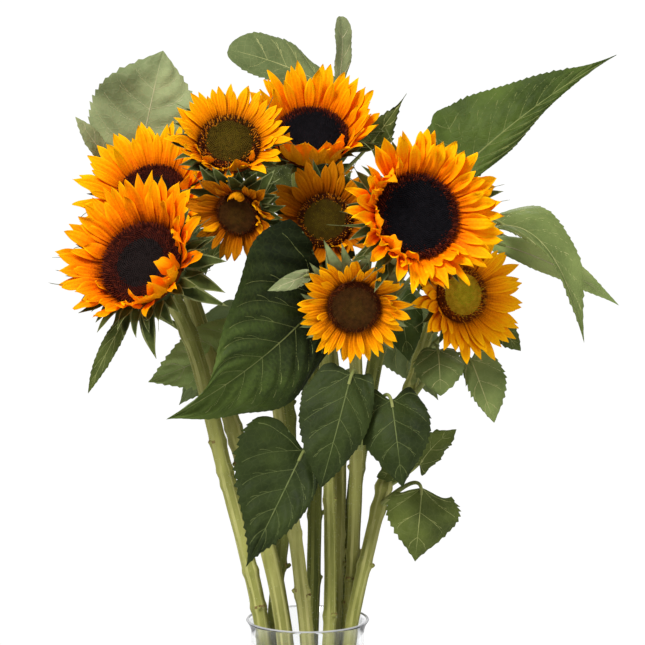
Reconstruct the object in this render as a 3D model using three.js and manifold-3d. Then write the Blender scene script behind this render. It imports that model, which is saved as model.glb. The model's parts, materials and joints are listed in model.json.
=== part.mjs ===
// A bunch of ten cut sunflowers standing in a clear glass vase.
// Millimetres, +Z up. The origin is the centre of the vase's flat underside, and the bunch faces -Y.
// Each flower is three solids: a stalk with its green calyx, a ring of petals and a seed disc.

import * as THREE from "three";
import { mergeVertices } from "three/addons/utils/BufferGeometryUtils.js";
import Module from "manifold-3d";

const wasm = await Module();
wasm.setup();

// ---------------------------------------------------------------- driving dimensions

const GAP = 0.3; // clearance between two pieces that touch

const VASE = {
  height: 240,
  rim: 62, // outer radius of the flared lip
  neck: 57, // outer radius just below the lip
  foot: 49, // outer radius at the base
  lip: 16, // height of the flare
  wall: 2.8,
  floor: 12,
  chamfer: 2,
  sides: 32,
};

const STALK = { sides: 8, steps: 12, toNeck: 16 }; // toNeck: the straight stretch behind a head
const HEAD = { sides: 16, ringWidth: 3, ringHeight: 3.2, seat: 4.2 };
const PETAL = { root: 1.3, lift: 1.6, thick: 0.8, spread: 1.3, stagger: 5, wander: 6 };
const BRACT = { count: 10, width: 14, thick: 0.9, drop: 3.2, spread: 27, wander: 7 };
const BLADE = { sides: 4, steps: 6, thin: 0.014, rootIn: 0.1, grow: 0.28, lobe: 0.14 };
const PETIOLE = { sides: 4, steps: 3, root: 2.6, end: 1.7 };

// One entry for each flower.
// foot and mouth: where the stalk's axis crosses the vase's floor and its mouth. via: points on the way up.
// head: the centre of the seat that the disc lies on. yaw: how far the face turns to the viewer's right.
// pitch: how far it looks up. radii: the stalk at its foot and at its neck.
// disc, edge, crown: radius of the disc, and its height at the edge and at the middle.
// petal, petals: their length and number. cup: how far they stand forward. bend: how far they curl on the way.
// lean, toward: the petals on the side at this angle stand this much further forward.
const FLOWERS = [
  {
    foot: [-21, -13.5], mouth: [-47, -6.5], via: [[-61, -5, 305], [-85, -6.5, 400], [-113.5, -22, 520]],
    head: [-156, -84, 600], yaw: -24, pitch: 24, radii: [8.5, 8],
    disc: 41, edge: 9, crown: 5, petal: 49, petals: 18, cup: 46, bend: -8, lean: 12, toward: -20, bract: 30,
  },
  {
    foot: [-1.5, -10.5], mouth: [-25, -17], via: [[-38, -10, 305], [-78, 17.5, 440]],
    head: [-155, 9.5, 663], yaw: -14, pitch: 32, radii: [9.5, 8],
    disc: 36, edge: 9, crown: 5, petal: 46, petals: 16, cup: 40, bend: -12, lean: 8, toward: -60, bract: 28,
  },
  {
    foot: [-35.5, 3], mouth: [-34.5, 18.5], via: [[-25, 24.5, 320], [-19.5, 27.5, 440]],
    head: [-75.5, -47.5, 715], yaw: 4, pitch: 28, radii: [7.5, 6.5],
    disc: 29.5, edge: 7, crown: 8, petal: 33, petals: 16, cup: 42, bend: -10, lean: 18, toward: -95, bract: 24,
  },
  {
    foot: [12, 9.5], mouth: [26.5, 14.5], via: [[29, 18.5, 300], [31, 31.5, 410]],
    head: [4, 34, 723], yaw: 2, pitch: 38, radii: [8.5, 7.5],
    disc: 36.5, edge: 9, crown: 5, petal: 48, petals: 18, cup: 61, bend: -4, lean: 14, toward: -90, bract: 24,
  },
  {
    foot: [18, -8], mouth: [-2, -22.5], via: [[-10, -21, 310], [-28, -16, 445]],
    head: [-65, -81, 649], yaw: -16, pitch: -22, radii: [8, 6],
    disc: 21, edge: 6, crown: 6, petal: 31, petals: 14, cup: 26, bend: -4, lean: 20, toward: 60, bract: 24,
  },
  {
    foot: [2.5, -36], mouth: [22, -24.5], via: [[21.5, 5, 380], [18, 25.5, 480]],
    head: [18, -20.5, 640.5], yaw: -6, pitch: 12, radii: [6.8, 6],
    disc: 27, edge: 6, crown: 7, petal: 33, petals: 16, cup: 34, bend: -8, lean: 8, toward: -90, bract: 26,
  },
  {
    foot: [18.5, 27], mouth: [35.5, 30], via: [[43, 32, 323], [52.5, 27.5, 403], [68.5, 8, 503]],
    head: [103.5, -97, 646], yaw: 14, pitch: 10, radii: [8.5, 8],
    disc: 40, edge: 9, crown: 5, petal: 44, petals: 20, cup: 36, bend: -4, lean: 14, toward: 205, bract: 30,
  },
  {
    foot: [33, -14.5], mouth: [42.5, 2.5], via: [[46.5, 6.5, 317], [49.5, -1, 420]],
    head: [45, -91.5, 560.5], yaw: 0, pitch: -16, radii: [7.2, 6.5],
    disc: 25, edge: 6, crown: 7, petal: 30, petals: 16, cup: 20, bend: -4, lean: 10, toward: 80, bract: 28,
  },
  {
    foot: [16.5, -28.5], mouth: [45, -13.5], via: [[60, -2.5, 305], [90, 19.5, 420], [108, 22.5, 483]],
    head: [149.5, -42.5, 569], yaw: 26, pitch: 6, radii: [7.5, 6.5],
    disc: 27, edge: 6, crown: 7, petal: 42, petals: 16, cup: 22, bend: -6, lean: 20, toward: 212, bract: 24,
  },
  {
    foot: [-7, 22.5], mouth: [5, 24.5], via: [[7, 25.5, 340], [7, 37, 470]],
    head: [-8.5, 125.5, 691], yaw: 176, pitch: 22, radii: [7.5, 6.5],
    disc: 27, edge: 7, crown: 6, petal: 34, petals: 16, cup: 34, bend: -8, lean: 6, toward: 90, bract: 26,
  },
];

// One entry for each leaf: the flower whose stalk carries it, and the height its petiole starts from.
// base, tip: the two ends of the midrib. width: across the widest place. sag: how far the midrib arches.
// roll: the blade's turn about the midrib. fold: how far both halves rise beside the midrib.
// point: above 1 the blade is widest near its base and tapers to a long tip. crook: where its arch is highest.
// skew: how much wider one half is. slant: how much nearer the base that half is widest.
// lobe: how far both halves reach back behind the base, against the usual.
const LEAVES = [
  { name: "leaf_top_left", on: 2, from: 628, base: [-170, 58, 714], tip: [-147, 50, 813], width: 116, sag: 6, roll: 0, fold: 8, point: 1.6 },
  { name: "leaf_far_left", on: 2, from: 610, base: [-209, 48, 707], tip: [-234, 26, 745], width: 20, sag: 3, roll: 20, fold: 14, point: 1.1 },
  { name: "leaf_crest", on: 4, from: 684, base: [16, 90, 781], tip: [-83, 80, 816], width: 62, sag: 6, roll: 40, fold: 10, point: 0.5 },
  { name: "leaf_crest_tip", on: 4, from: 676, base: [32, 112, 784], tip: [34, 108, 853], width: 25, sag: 4, roll: 40, fold: 14, point: 0.4 },
  { name: "leaf_top_right", on: 7, from: 590, base: [149, 8, 687], tip: [311, 20, 807], width: 76, sag: 16, roll: -28, fold: 12, point: 1.9, skew: -0.5 },
  { name: "leaf_between", on: 4, from: 668, base: [65, 50, 720], tip: [101, 42, 770], width: 33, sag: 4, roll: 10, fold: 12, point: 1.2 },
  { name: "leaf_right_arch", on: 7, from: 575, base: [186, 12, 634], tip: [276, -8, 518], width: 46, sag: 40, roll: -50, fold: 12, point: 1.3, crook: 0.2 },
  { name: "leaf_right_back", on: 7, from: 548, base: [188, 52, 618], tip: [319, 46, 553], width: 34, sag: 12, roll: -38, fold: 10, point: 1.1 },
  { name: "leaf_great", on: 5, from: 520, base: [17, -50, 568], tip: [-135, -92, 452], width: 146, sag: 18, roll: -30, fold: 6, point: 1.6, slant: 1.2, lobe: 0.3 },
  { name: "leaf_left_back", on: 2, from: 480, base: [-70, 34, 515], tip: [-162, 20, 477], width: 66, sag: 6, roll: 0, fold: 8, point: 1.3 },
  { name: "leaf_middle", on: 8, from: 440, base: [43, -72, 495], tip: [13, -88, 385], width: 70, sag: 12, roll: 0, fold: -8, point: 1.1, skew: 0.15, lobe: 0.3 },
  { name: "leaf_middle_right", on: 8, from: 405, base: [82, -60, 468], tip: [92, -82, 385], width: 70, sag: 14, roll: 0, fold: -10, point: 1.2 },
  { name: "leaf_low_left", on: 5, from: 380, base: [-3, -68, 420], tip: [-59, -92, 309], width: 88, sag: 10, roll: 0, fold: 8, point: 1.6, skew: 0.3, slant: 0.5, lobe: 0.6 },
  { name: "leaf_low_right", on: 9, from: 350, base: [113, -36, 378], tip: [106, -46, 306], width: 74, sag: 6, roll: 0, fold: -12, point: 1.3, lobe: -0.3, skew: -0.1 },
  { name: "leaf_right_upper", on: 9, from: 470, base: [129, -26, 514], tip: [131, -38, 469], width: 50, sag: 8, roll: 0, fold: -8, point: 1, lobe: 0.4 },
  { name: "leaf_right_hanging", on: 9, from: 450, base: [162, -18, 504], tip: [185, -26, 441], width: 40, sag: 8, roll: 0, fold: -8, point: 1.1, skew: -0.35 },
  { name: "leaf_curled_right", on: 9, from: 372, base: [113, 12, 394], tip: [150, 6, 431], width: 30, sag: -8, roll: 20, fold: 10, point: 1 },
  { name: "leaf_curled_left", on: 9, from: 400, base: [97, 4, 392], tip: [69, -6, 384], width: 22, sag: 4, roll: 10, fold: 8, point: 1 },
  { name: "leaf_under_right", on: 7, from: 515, base: [91, -30, 563], tip: [100, -42, 503], width: 32, sag: 4, roll: 0, fold: 6, point: 1.2 },
  { name: "leaf_right_small", on: 9, from: 500, base: [187, 10, 540], tip: [214, 4, 510], width: 25, sag: 4, roll: 0, fold: 8, point: 1.1 },
  { name: "leaf_beside_small", on: 8, from: 560, base: [0, -92, 590], tip: [-37, -108, 576], width: 16, sag: 3, roll: 0, fold: 10, point: 1.1 },
  { name: "leaf_left_hanging", on: 1, from: 530, base: [-179, -24, 546], tip: [-216, -34, 471], width: 18, sag: 6, roll: 10, fold: 14, point: 1 },
  { name: "leaf_left_inner", on: 1, from: 556, base: [-106, -20, 595], tip: [-70, -16, 624], width: 14, sag: 4, roll: 0, fold: 12, point: 1 },
  { name: "leaf_back_high_left", on: 2, from: 570, base: [-118, 88, 632], tip: [-178, 116, 548], width: 74, sag: 10, roll: 180, fold: -8, point: 1.4 },
  { name: "leaf_back_high_right", on: 7, from: 530, base: [122, 84, 622], tip: [186, 106, 538], width: 74, sag: 10, roll: 180, fold: -8, point: 1.4 },
  { name: "leaf_back_left", on: 3, from: 440, base: [-70, 105, 530], tip: [-140, 140, 440], width: 78, sag: 12, roll: 180, fold: -8, point: 1.4 },
  { name: "leaf_back_right", on: 10, from: 462, base: [82, 118, 552], tip: [140, 140, 445], width: 80, sag: 12, roll: 180, fold: -8, point: 1.4 },
  { name: "leaf_back_middle", on: 4, from: 400, base: [30, 120, 476], tip: [18, 142, 370], width: 70, sag: 12, roll: 180, fold: -8, point: 1.3 },
];

// ---------------------------------------------------------------- finishes

const finish = (color, roughness, more = {}) => new THREE.MeshStandardMaterial({ color, roughness, metalness: 0, ...more });
const GLASS = finish(0xe8f0f2, 0.03, { transparent: true, opacity: 0.3 });
const GREEN_STALK = finish(0x8fa24e, 0.7);
const GREEN_LEAF = finish(0x47673a, 0.6);
const YELLOW_PETAL = finish(0xffa010, 0.6);
const DARK_DISC = finish(0x2a1412, 0.85);
const OLIVE_DISC = finish(0x5c4a14, 0.85);

// ---------------------------------------------------------------- helpers

const radians = THREE.MathUtils.degToRad;
const mix = THREE.MathUtils.lerp;

// A steady number from -1 to 1 for a pair of counters, so that each build is the same.
function jitter(a, b) {
  const v = Math.sin(a * 12.9898 + b * 78.233) * 43758.5453;
  return 2 * (v - Math.floor(v)) - 1;
}

// A closed geometry as a solid: vertices merged, faces that collapsed at a pole left out, faces outward.
function solid(geometry) {
  const bare = geometry.clone();
  for (const name of Object.keys(bare.attributes)) if (name !== "position") bare.deleteAttribute(name);
  const merged = mergeVertices(bare, 1e-3);
  const corners = [];
  for (let i = 0; i < merged.index.count; i += 3) {
    const [a, b, c] = [0, 1, 2].map((k) => merged.index.getX(i + k));
    if (a !== b && b !== c && a !== c) corners.push([a, b, c]);
  }
  const make = (faces) =>
    new wasm.Manifold(
      new wasm.Mesh({
        numProp: 3,
        vertProperties: new Float32Array(merged.attributes.position.array),
        triVerts: new Uint32Array(faces.flat()),
      }),
    );
  const made = make(corners);
  return made.volume() > 0 ? made : make(corners.map(([a, b, c]) => [a, c, b]));
}

// A solid as a geometry.
function geometryOf(made) {
  const { numProp, numVert, vertProperties, triVerts } = made.getMesh();
  const position = new Float32Array(numVert * 3);
  for (let i = 0; i < numVert; i++) position.set(vertProperties.subarray(i * numProp, i * numProp + 3), i * 3);
  const geometry = new THREE.BufferGeometry();
  geometry.setAttribute("position", new THREE.BufferAttribute(position, 3));
  geometry.setIndex(new THREE.BufferAttribute(new Uint32Array(triVerts), 1));
  geometry.computeVertexNormals();
  return geometry;
}

// The largest of the bodies that a cut leaves.
function largest(made) {
  return made.decompose().reduce((a, b) => (b.volume() > a.volume() ? b : a));
}

function meshOf(name, made, material) {
  const mesh = new THREE.Mesh(geometryOf(made), material);
  mesh.name = name;
  return mesh;
}

// A round or pointed bar whose surface place(s, u, v) sets: s runs from 0 at its root to 1 at its end,
// and u, v are the two parts of a unit circle round it.
function bar(sides, steps, pointed, place) {
  const geometry = new THREE.CylinderGeometry(pointed ? 0 : 1, 1, 1, sides, steps);
  const position = geometry.attributes.position;
  for (let i = 0; i < position.count; i++) {
    const s = position.getY(i) + 0.5;
    const [x, z] = [position.getX(i), position.getZ(i)];
    const shrink = pointed && s < 1 ? 1 - s : 1;
    const p = place(s, x / shrink, z / shrink);
    position.setXYZ(i, p.x, p.y, p.z);
  }
  return solid(geometry);
}

// A body turned from a profile of [radius, height] points, about +Z.
function turned(profile, sides) {
  const points = profile.map(([r, h]) => new THREE.Vector2(r, h));
  return solid(new THREE.LatheGeometry(points, sides).rotateX(Math.PI / 2));
}

function joined(pieces) {
  return pieces.reduce((a, b) => a.add(b));
}

// A direction's two cross axes, one of them as near as it can be to the given side.
function crossAxes(along, side) {
  const across = side.clone().addScaledVector(along, -side.dot(along)).normalize();
  return [across, new THREE.Vector3().crossVectors(along, across)];
}

// ---------------------------------------------------------------- vase

function vase() {
  const { height, rim, neck, foot, lip, wall, floor, chamfer, sides } = VASE;
  const bend = height - lip;
  const profile = [
    [0, 0],
    [foot - chamfer, 0],
    [foot, chamfer],
    [neck, bend],
    [neck + 0.35 * (rim - neck), bend + 0.6 * lip],
    [rim, height],
    [rim - wall, height],
    [neck + 0.35 * (rim - neck) - wall, bend + 0.6 * lip],
    [neck - wall, bend],
    [foot - wall, floor + wall],
    [foot - 2 * wall, floor],
    [0, floor],
  ];
  return meshOf("vase", turned(profile, sides), GLASS);
}

// ---------------------------------------------------------------- stalks and calyxes

// A flower's own frame: X to the side, Y upward and Z the way it faces, with its origin on the seat.
function headFrame(flower) {
  const [yaw, pitch] = [radians(flower.yaw), radians(flower.pitch)];
  const facing = new THREE.Vector3(Math.sin(yaw) * Math.cos(pitch), -Math.cos(yaw) * Math.cos(pitch), Math.sin(pitch));
  const side = new THREE.Vector3(0, 0, 1).cross(facing).normalize();
  const upward = new THREE.Vector3().crossVectors(facing, side);
  return new THREE.Matrix4().makeBasis(side, upward, facing).setPosition(...flower.head);
}

const calyxDepth = (flower) => 0.45 * flower.disc + 4;

// The stalk's axis: straight inside the vase, then a curve to the middle of the calyx.
function stalkAxis(flower) {
  const frame = headFrame(flower);
  const depth = calyxDepth(flower);
  const behind = (d) => new THREE.Vector3(0, 0, -d).applyMatrix4(frame);
  const foot = new THREE.Vector3(...flower.foot, VASE.floor + GAP);
  const mouth = new THREE.Vector3(...flower.mouth, VASE.height);
  return new THREE.CatmullRomCurve3([
    foot,
    foot.clone().lerp(mouth, 0.5),
    mouth,
    ...flower.via.map((p) => new THREE.Vector3(...p)),
    behind(depth + STALK.toNeck),
    behind(0.5 * depth),
  ]);
}

const stalkRadius = (flower, s) => mix(...flower.radii, s);

function stalkTube(flower, extra = 0) {
  const axis = stalkAxis(flower);
  const side = new THREE.Vector3(1, 0, 0);
  return bar(STALK.sides, STALK.steps, false, (s, u, v) => {
    const tangent = axis.getTangentAt(s);
    const [across, other] = crossAxes(tangent, side);
    const radius = stalkRadius(flower, s) + extra;
    const p = axis.getPointAt(s).addScaledVector(across, u * radius).addScaledVector(other, v * radius);
    return s > 0 ? p : p.addScaledVector(tangent, (VASE.floor + GAP - p.z) / tangent.z);
  });
}

// How far forward the petals stand at an angle round the head.
const cupAt = (flower, angle) => flower.cup + flower.lean * Math.cos(angle - radians(flower.toward));

// The middle line of a petal or bract: its distance from the head's axis, its height and its slope at s.
function blade(start, height, length, slope, bend, s) {
  const turn = radians(bend);
  const now = radians(slope) + turn * s;
  const out = Math.abs(turn) < 1e-6 ? s * Math.cos(now) : (Math.sin(now) - Math.sin(now - turn * s)) / turn;
  const rise = Math.abs(turn) < 1e-6 ? s * Math.sin(now) : (Math.cos(now - turn * s) - Math.cos(now)) / turn;
  return { out: start + length * out, rise: height + length * rise, slope: now };
}

// A pointed blade that grows outward from the head at an angle: half its width at s is wide(s).
function outwardBlade(angle, thick, steps, line, wide) {
  const [c, d] = [Math.cos(angle), Math.sin(angle)];
  return bar(3, steps, true, (s, u, v) => {
    const { out, rise, slope } = line(s);
    const across = 1.15 * u * wide(s);
    const through = v * thick * (1 - 0.5 * s);
    const r = out - through * Math.sin(slope);
    return new THREE.Vector3(r * c - across * d, r * d + across * c, rise + through * Math.cos(slope));
  });
}

const bractWidth = (s) => (s < 0.4 ? mix(0.8, 1, s / 0.4) : 1 - ((s - 0.4) / 0.6) ** 1.3);

function calyx(flower, k) {
  const rim = flower.disc + HEAD.seat;
  const depth = calyxDepth(flower);
  const neck = 1.35 * flower.radii[1];
  const bowl = turned(
    [
      [0, -depth],
      [neck, -depth],
      [0.72 * rim, -0.55 * depth],
      [rim, -0.28 * depth],
      [rim, -GAP],
      [0, -GAP],
    ],
    HEAD.sides,
  );
  const bracts = Array.from({ length: BRACT.count }, (_, i) => {
    const angle = (2 * Math.PI * (i + 0.3 * jitter(k, i))) / BRACT.count;
    const slope = cupAt(flower, angle) - BRACT.spread + BRACT.wander * jitter(i, k + 3);
    const length = flower.bract * (1 + 0.15 * jitter(i + 5, k));
    const line = (s) => blade(rim - 3, -BRACT.drop, length, slope, flower.bend - 12, s);
    return outwardBlade(angle, BRACT.thick, 2, line, (s) => 0.5 * BRACT.width * bractWidth(s));
  });
  return joined([bowl, ...bracts]);
}

function stalk(flower, k) {
  const head = calyx(flower, k).transform(headFrame(flower).elements);
  return meshOf(`stalk_${k}`, stalkTube(flower).add(head), GREEN_STALK);
}

// ---------------------------------------------------------------- petals and seed discs

const petalWidth = (s) => (s < 0.45 ? mix(0.5, 1, s / 0.45) : 1 - ((s - 0.45) / 0.55) ** 1.8);

function petals(flower, k) {
  const inner = flower.disc + GAP + 0.1;
  const outer = inner + HEAD.ringWidth;
  const ring = turned(
    [
      [inner, 0],
      [outer, 0],
      [outer, HEAD.ringHeight],
      [inner, HEAD.ringHeight],
      [inner, 0],
    ],
    HEAD.sides,
  );
  const midway = flower.disc + 0.45 * flower.petal * Math.cos(radians(flower.cup));
  const width = (PETAL.spread * 2 * Math.PI * midway) / flower.petals;
  const rays = Array.from({ length: flower.petals }, (_, i) => {
    const angle = (2 * Math.PI * (i + 0.2 * jitter(k, i))) / flower.petals;
    const stagger = i % 2 ? PETAL.stagger : -PETAL.stagger;
    const slope = Math.min(84, cupAt(flower, angle) + stagger + PETAL.wander * jitter(i, k));
    const length = flower.petal * (1 + 0.1 * jitter(i + 9, k));
    const line = (s) => blade(flower.disc + PETAL.root, PETAL.lift, length, slope, flower.bend, s);
    return outwardBlade(angle, PETAL.thick, 2, line, (s) => 0.5 * width * petalWidth(s));
  });
  return meshOf(`petals_${k}`, joined([ring, ...rays]), YELLOW_PETAL);
}

function seedDisc(flower, k) {
  const { disc, edge, crown } = flower;
  const profile = [
    [0, 0],
    [disc, 0],
    [disc, 0.4 * edge],
    [0.93 * disc, edge],
    [0, crown],
  ];
  return meshOf(`seed_disc_${k}`, turned(profile, HEAD.sides), disc > 30 ? DARK_DISC : OLIVE_DISC);
}

function head(flower, k) {
  const group = new THREE.Group();
  group.applyMatrix4(headFrame(flower));
  group.add(petals(flower, k), seedDisc(flower, k));
  return group;
}

// ---------------------------------------------------------------- leaves

// The width of a leaf at s, as a share of its widest.
function leafWidth(s, point) {
  const grow = BLADE.grow;
  const shape = (t) => (t + grow) * (1 - t) ** point;
  return shape(s) / shape((1 - point * grow) / (1 + point));
}

// The point of a stalk's axis at a height.
function atHeight(axis, height) {
  const points = axis.getSpacedPoints(200);
  return points.reduce((a, b) => (Math.abs(b.z - height) < Math.abs(a.z - height) ? b : a));
}

// A heart-shaped blade on its petiole. The petiole starts in its stalk, and the stalk's own room is cut from it.
function leaf(entry) {
  const base = new THREE.Vector3(...entry.base);
  const tip = new THREE.Vector3(...entry.tip);
  const length = base.distanceTo(tip);
  const along = tip.clone().sub(base).normalize();
  const [front, beside] = crossAxes(along, new THREE.Vector3(0, -1, 0));
  const roll = radians(entry.roll);
  const facing = front.clone().multiplyScalar(Math.cos(roll)).addScaledVector(beside, Math.sin(roll));
  const middle = base.clone().lerp(tip, entry.crook ?? 0.5).addScaledVector(facing, 2 * entry.sag);
  const midrib = new THREE.QuadraticBezierCurve3(base, middle, tip);
  const fold = radians(entry.fold);
  const lobe = (entry.lobe ?? 1) * BLADE.lobe * entry.width;
  const body = bar(BLADE.sides, BLADE.steps, true, (s, u, v) => {
    const tangent = midrib.getTangent(s);
    const [up, across] = crossAxes(tangent, facing);
    const uneven = (entry.skew ?? 0) + (entry.slant ?? 0) * (0.4 - s);
    const half = 0.5 * entry.width * leafWidth(s, entry.point) * (1 + u * uneven);
    return midrib
      .getPoint(s)
      .addScaledVector(across, u * half * Math.cos(fold))
      .addScaledVector(up, Math.abs(u) * half * Math.sin(fold) + v * BLADE.thin * length)
      .addScaledVector(tangent, -lobe * u * u * (1 - s) ** 4);
  });
  const flower = FLOWERS[entry.on - 1];
  const start = atHeight(stalkAxis(flower), entry.from);
  const end = midrib.getPoint(BLADE.rootIn);
  const elbow = base.clone().addScaledVector(along, -0.35 * start.distanceTo(base));
  const stem = new THREE.QuadraticBezierCurve3(start, elbow, end);
  const petiole = bar(PETIOLE.sides, PETIOLE.steps, false, (s, u, v) => {
    const [across, other] = crossAxes(stem.getTangent(s), facing);
    const radius = mix(PETIOLE.root, PETIOLE.end, s);
    return stem.getPoint(s).addScaledVector(across, u * radius).addScaledVector(other, v * radius);
  });
  const made = body.add(petiole).subtract(stalkTube(flower, GAP));
  return meshOf(entry.name, largest(made), GREEN_LEAF);
}

// ---------------------------------------------------------------- the whole bunch

const bunch = new THREE.Group();
bunch.add(vase());
FLOWERS.forEach((flower, i) => bunch.add(stalk(flower, i + 1), head(flower, i + 1)));
LEAVES.forEach((entry) => bunch.add(leaf(entry)));

export default bunch;
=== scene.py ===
"""A bunch of ten cut sunflowers in a clear glass vase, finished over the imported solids.

The tables give lengths in millimetres and angles in degrees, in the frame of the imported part: +Z up, the
bunch facing -Y and the origin under the vase. Every mesh is made in metres.
"""

import json
import math

import bpy
import numpy as np
from mathutils import Matrix, Vector

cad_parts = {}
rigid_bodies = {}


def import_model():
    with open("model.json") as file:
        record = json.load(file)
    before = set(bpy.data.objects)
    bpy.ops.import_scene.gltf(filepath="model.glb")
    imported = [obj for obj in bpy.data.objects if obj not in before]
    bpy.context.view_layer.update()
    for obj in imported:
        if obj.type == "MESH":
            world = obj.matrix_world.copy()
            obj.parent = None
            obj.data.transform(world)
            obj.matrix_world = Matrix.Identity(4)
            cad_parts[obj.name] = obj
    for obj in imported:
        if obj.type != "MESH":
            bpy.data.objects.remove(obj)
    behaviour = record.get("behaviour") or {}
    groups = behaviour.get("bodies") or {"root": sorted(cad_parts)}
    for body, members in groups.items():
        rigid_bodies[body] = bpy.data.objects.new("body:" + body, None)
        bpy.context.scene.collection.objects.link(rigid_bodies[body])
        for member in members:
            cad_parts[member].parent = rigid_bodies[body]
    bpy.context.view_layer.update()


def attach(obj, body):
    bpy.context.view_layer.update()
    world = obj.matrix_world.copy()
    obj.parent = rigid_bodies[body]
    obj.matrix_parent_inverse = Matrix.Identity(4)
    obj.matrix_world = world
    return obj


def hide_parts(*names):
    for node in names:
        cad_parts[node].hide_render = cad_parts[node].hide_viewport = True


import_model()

MM = 0.001
UP = np.array([0.0, 0.0, 1.0])

# ---------------------------------------------------------------- sizes

# rim, neck, foot: radii at the top, where the lip starts, and at the bottom. lip: the lip's height.
# base: the height that the straight wall starts from. floor: the height of the inside's bottom.
# flare: the power by which the lip opens. round: how far below the top the lip's outside ends.
VASE = dict(height=240, rim=62, neck=57, foot=49, lip=16, wall=2.8, floor=12, base=2, flare=2.2, round=1.4)
FOOT_RING = ((6, 0.6), (5, 0), (2, 0), (0.6, 0.6))  # inward from the foot's radius, and up from the ground
LIP_ROUND = ((0.5, 0.4), (1.4, 0), (2.3, 0.4))  # inward from the rim, and down from the top
FLOOR_CORNER = ((-0.4, 6), (1.2, 2.2), (5, 0.4), (9, 0))  # inward from the wall's inside, up from the floor
LIP_HIGHLIGHT_BAND = 3  # the lip's painted highlight, a whiter and cloudier glass that stands for the light its edge catches, covers this much of its height

GAP = 0.3  # between a stalk's foot and the vase's floor
TO_NECK = 16  # the straight stretch of a stalk behind its head
SEAT = 4.2  # how far the calyx reaches beyond the seed disc
STALK_ROWS, STALK_SIDES = 220, 28
STALK_SKIN = 0.96  # where the skin lies between the ribs, as a share of the stalk's radius
RIDGE_FROM = 0.01  # where a rib stands out further than this share, it has the ridge's finish
RIB_PHASES = 6.28  # the ribs of each stalk start anywhere in about one turn
LEAF_KNOT = (1.5, 7)  # how much a stalk swells where a leaf leaves it, and how far along
SCAR_KNOT = (1.2, 4)  # the same at the scar of a leaf that was taken off
NECK_SWELL, NECK_FROM = 0.3, 0.94  # how much thicker a stalk gets at its neck, and where that begins
SCARS, SCAR_HEIGHTS = 5, (245, 500)
SCAR_SPREAD = (0.3, 0.8)  # how far a scar's brown reaches to each side, in radians
STUB = dict(reach=(2.8, 5.0), root=3.4, end=1.6, sunk=2.5)  # the stub on a scar
BOWL_NECK, BOWL_SIDES = 1.3, 40  # the calyx's bowl where it meets the stalk, against the neck, and its sides

SHOULDER = 0.45  # how far the seed disc's edge falls, as a share of its height
STEEP = 14  # the power by which that fall grows toward the rim
CUSHION_SIDES, CUSHION_RINGS = 48, 14
LARGE_DISC = 30  # a disc above this radius has the florets of a large bloom
FLORET_COUNTS = (900, 1500)  # on a small disc and on a large one
FLORET_CONE = (5, 0.3, 0.62, 1.8)  # a floret's sides, its two radii and its height, against its size
FLORET_LEAN, SPIKE = 22.0, 0.9  # how far the outer florets lean out, and how much taller they may be
ZONE_BLUR, UNTIPPED = 0.1, 0.62  # how far the zones of florets mix, and the share of outer ones without tips
SCATTER = 917.0  # times a floret's zone, this gives digits that are as good as random
RING = dict(reach=2.8, edge=0.7, height=1.2)  # the flat ring under a seed disc, which closes the seat
HAIR = dict(Hairs_per_area=60000.0, Hair_length=0.0022, Hair_radius=0.00008)  # in metres

# Bracts stand in three whorls, one bract of each in turn. below: how much flatter than the petals they lie.
# length, width: the length against the flower's, and the width. seat: their foot, in and down from the rim.
BRACT_WHORLS = (
    dict(below=16, length=1.15, width=11.5, seat=(2.6, 3.2)),
    dict(below=28, length=1.1, width=10.5, seat=(3.2, 4.4)),
    dict(below=42, length=0.95, width=9, seat=(4.4, 6.2)),
)
LEAFY_SEAT, WISP_SEAT = (3.4, 5.4), (3.4, 4.4)  # the same for leafy bracts, and for wisps, thin and curling
WISP = 1.45  # how long wisps are, against the other bracts
BRACT_GRID, BRACT_THICK = (20, 9), 0.7
BRACT_STEP = 27  # the stretch of the rim that holds one bract of each whorl
BRACT_WIDEST = 0.24  # where along it a bract begins to narrow
BRACT_ENDS = (0.98, 0.72)  # where it ends as a blade: a plain one, and one that is drawn out to a thread
DRAWN_OUT, THREAD_LENGTH = 0.35, 1.35  # the share of bracts that are drawn out, and how much longer they are
STAGGER = 0.3  # how far bracts and petals stand off their even places, against the step between them

# Petals stand in four whorls, one petal of each in turn. rise: how much more than the flower's cup they rise.
# length, width: against the flower's. seat: how high on the calyx they start.
PETAL_WHORLS = (
    dict(rise=-5, length=1.03, width=1, seat=0.7),
    dict(rise=1, length=1.0, width=1, seat=1.2),
    dict(rise=6, length=0.92, width=0.95, seat=1.8),
    dict(rise=13, length=0.74, width=0.8, seat=2.4),
)
# How a petal in line and a wild one may be shaped. curl: its tip's turn. channel: how far its sides rise.
# ruffle: its margins' waves against its width. twist: its turn, in radians.
IN_LINE = dict(curl=(-28, 34), channel=(-0.2, 0.45), ruffle=0.12, twist=0.42)
WILD = dict(curl=(-20, 90), channel=(-0.3, 0.8), ruffle=0.17, twist=1.0)
PETAL_GRID, PETAL_THICK = (15, 13), 0.5
PETAL_START = 0.6  # how far beyond the disc's edge petals start
PETAL_TIP = 0.22  # the least half width of a petal
GROOVE_SHADE, GROOVE_AT, GROOVE_WIDE = 0.09, 0.36, 0.13  # how much painted shade darkens a petal's grooves, where, and how wide
STEEPEST = 94  # no petal rises more than this at its foot
CROWDED, SPREAD = 78, 1.35  # petals that rise more than the first, and wild ones, are wider by the second

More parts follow.
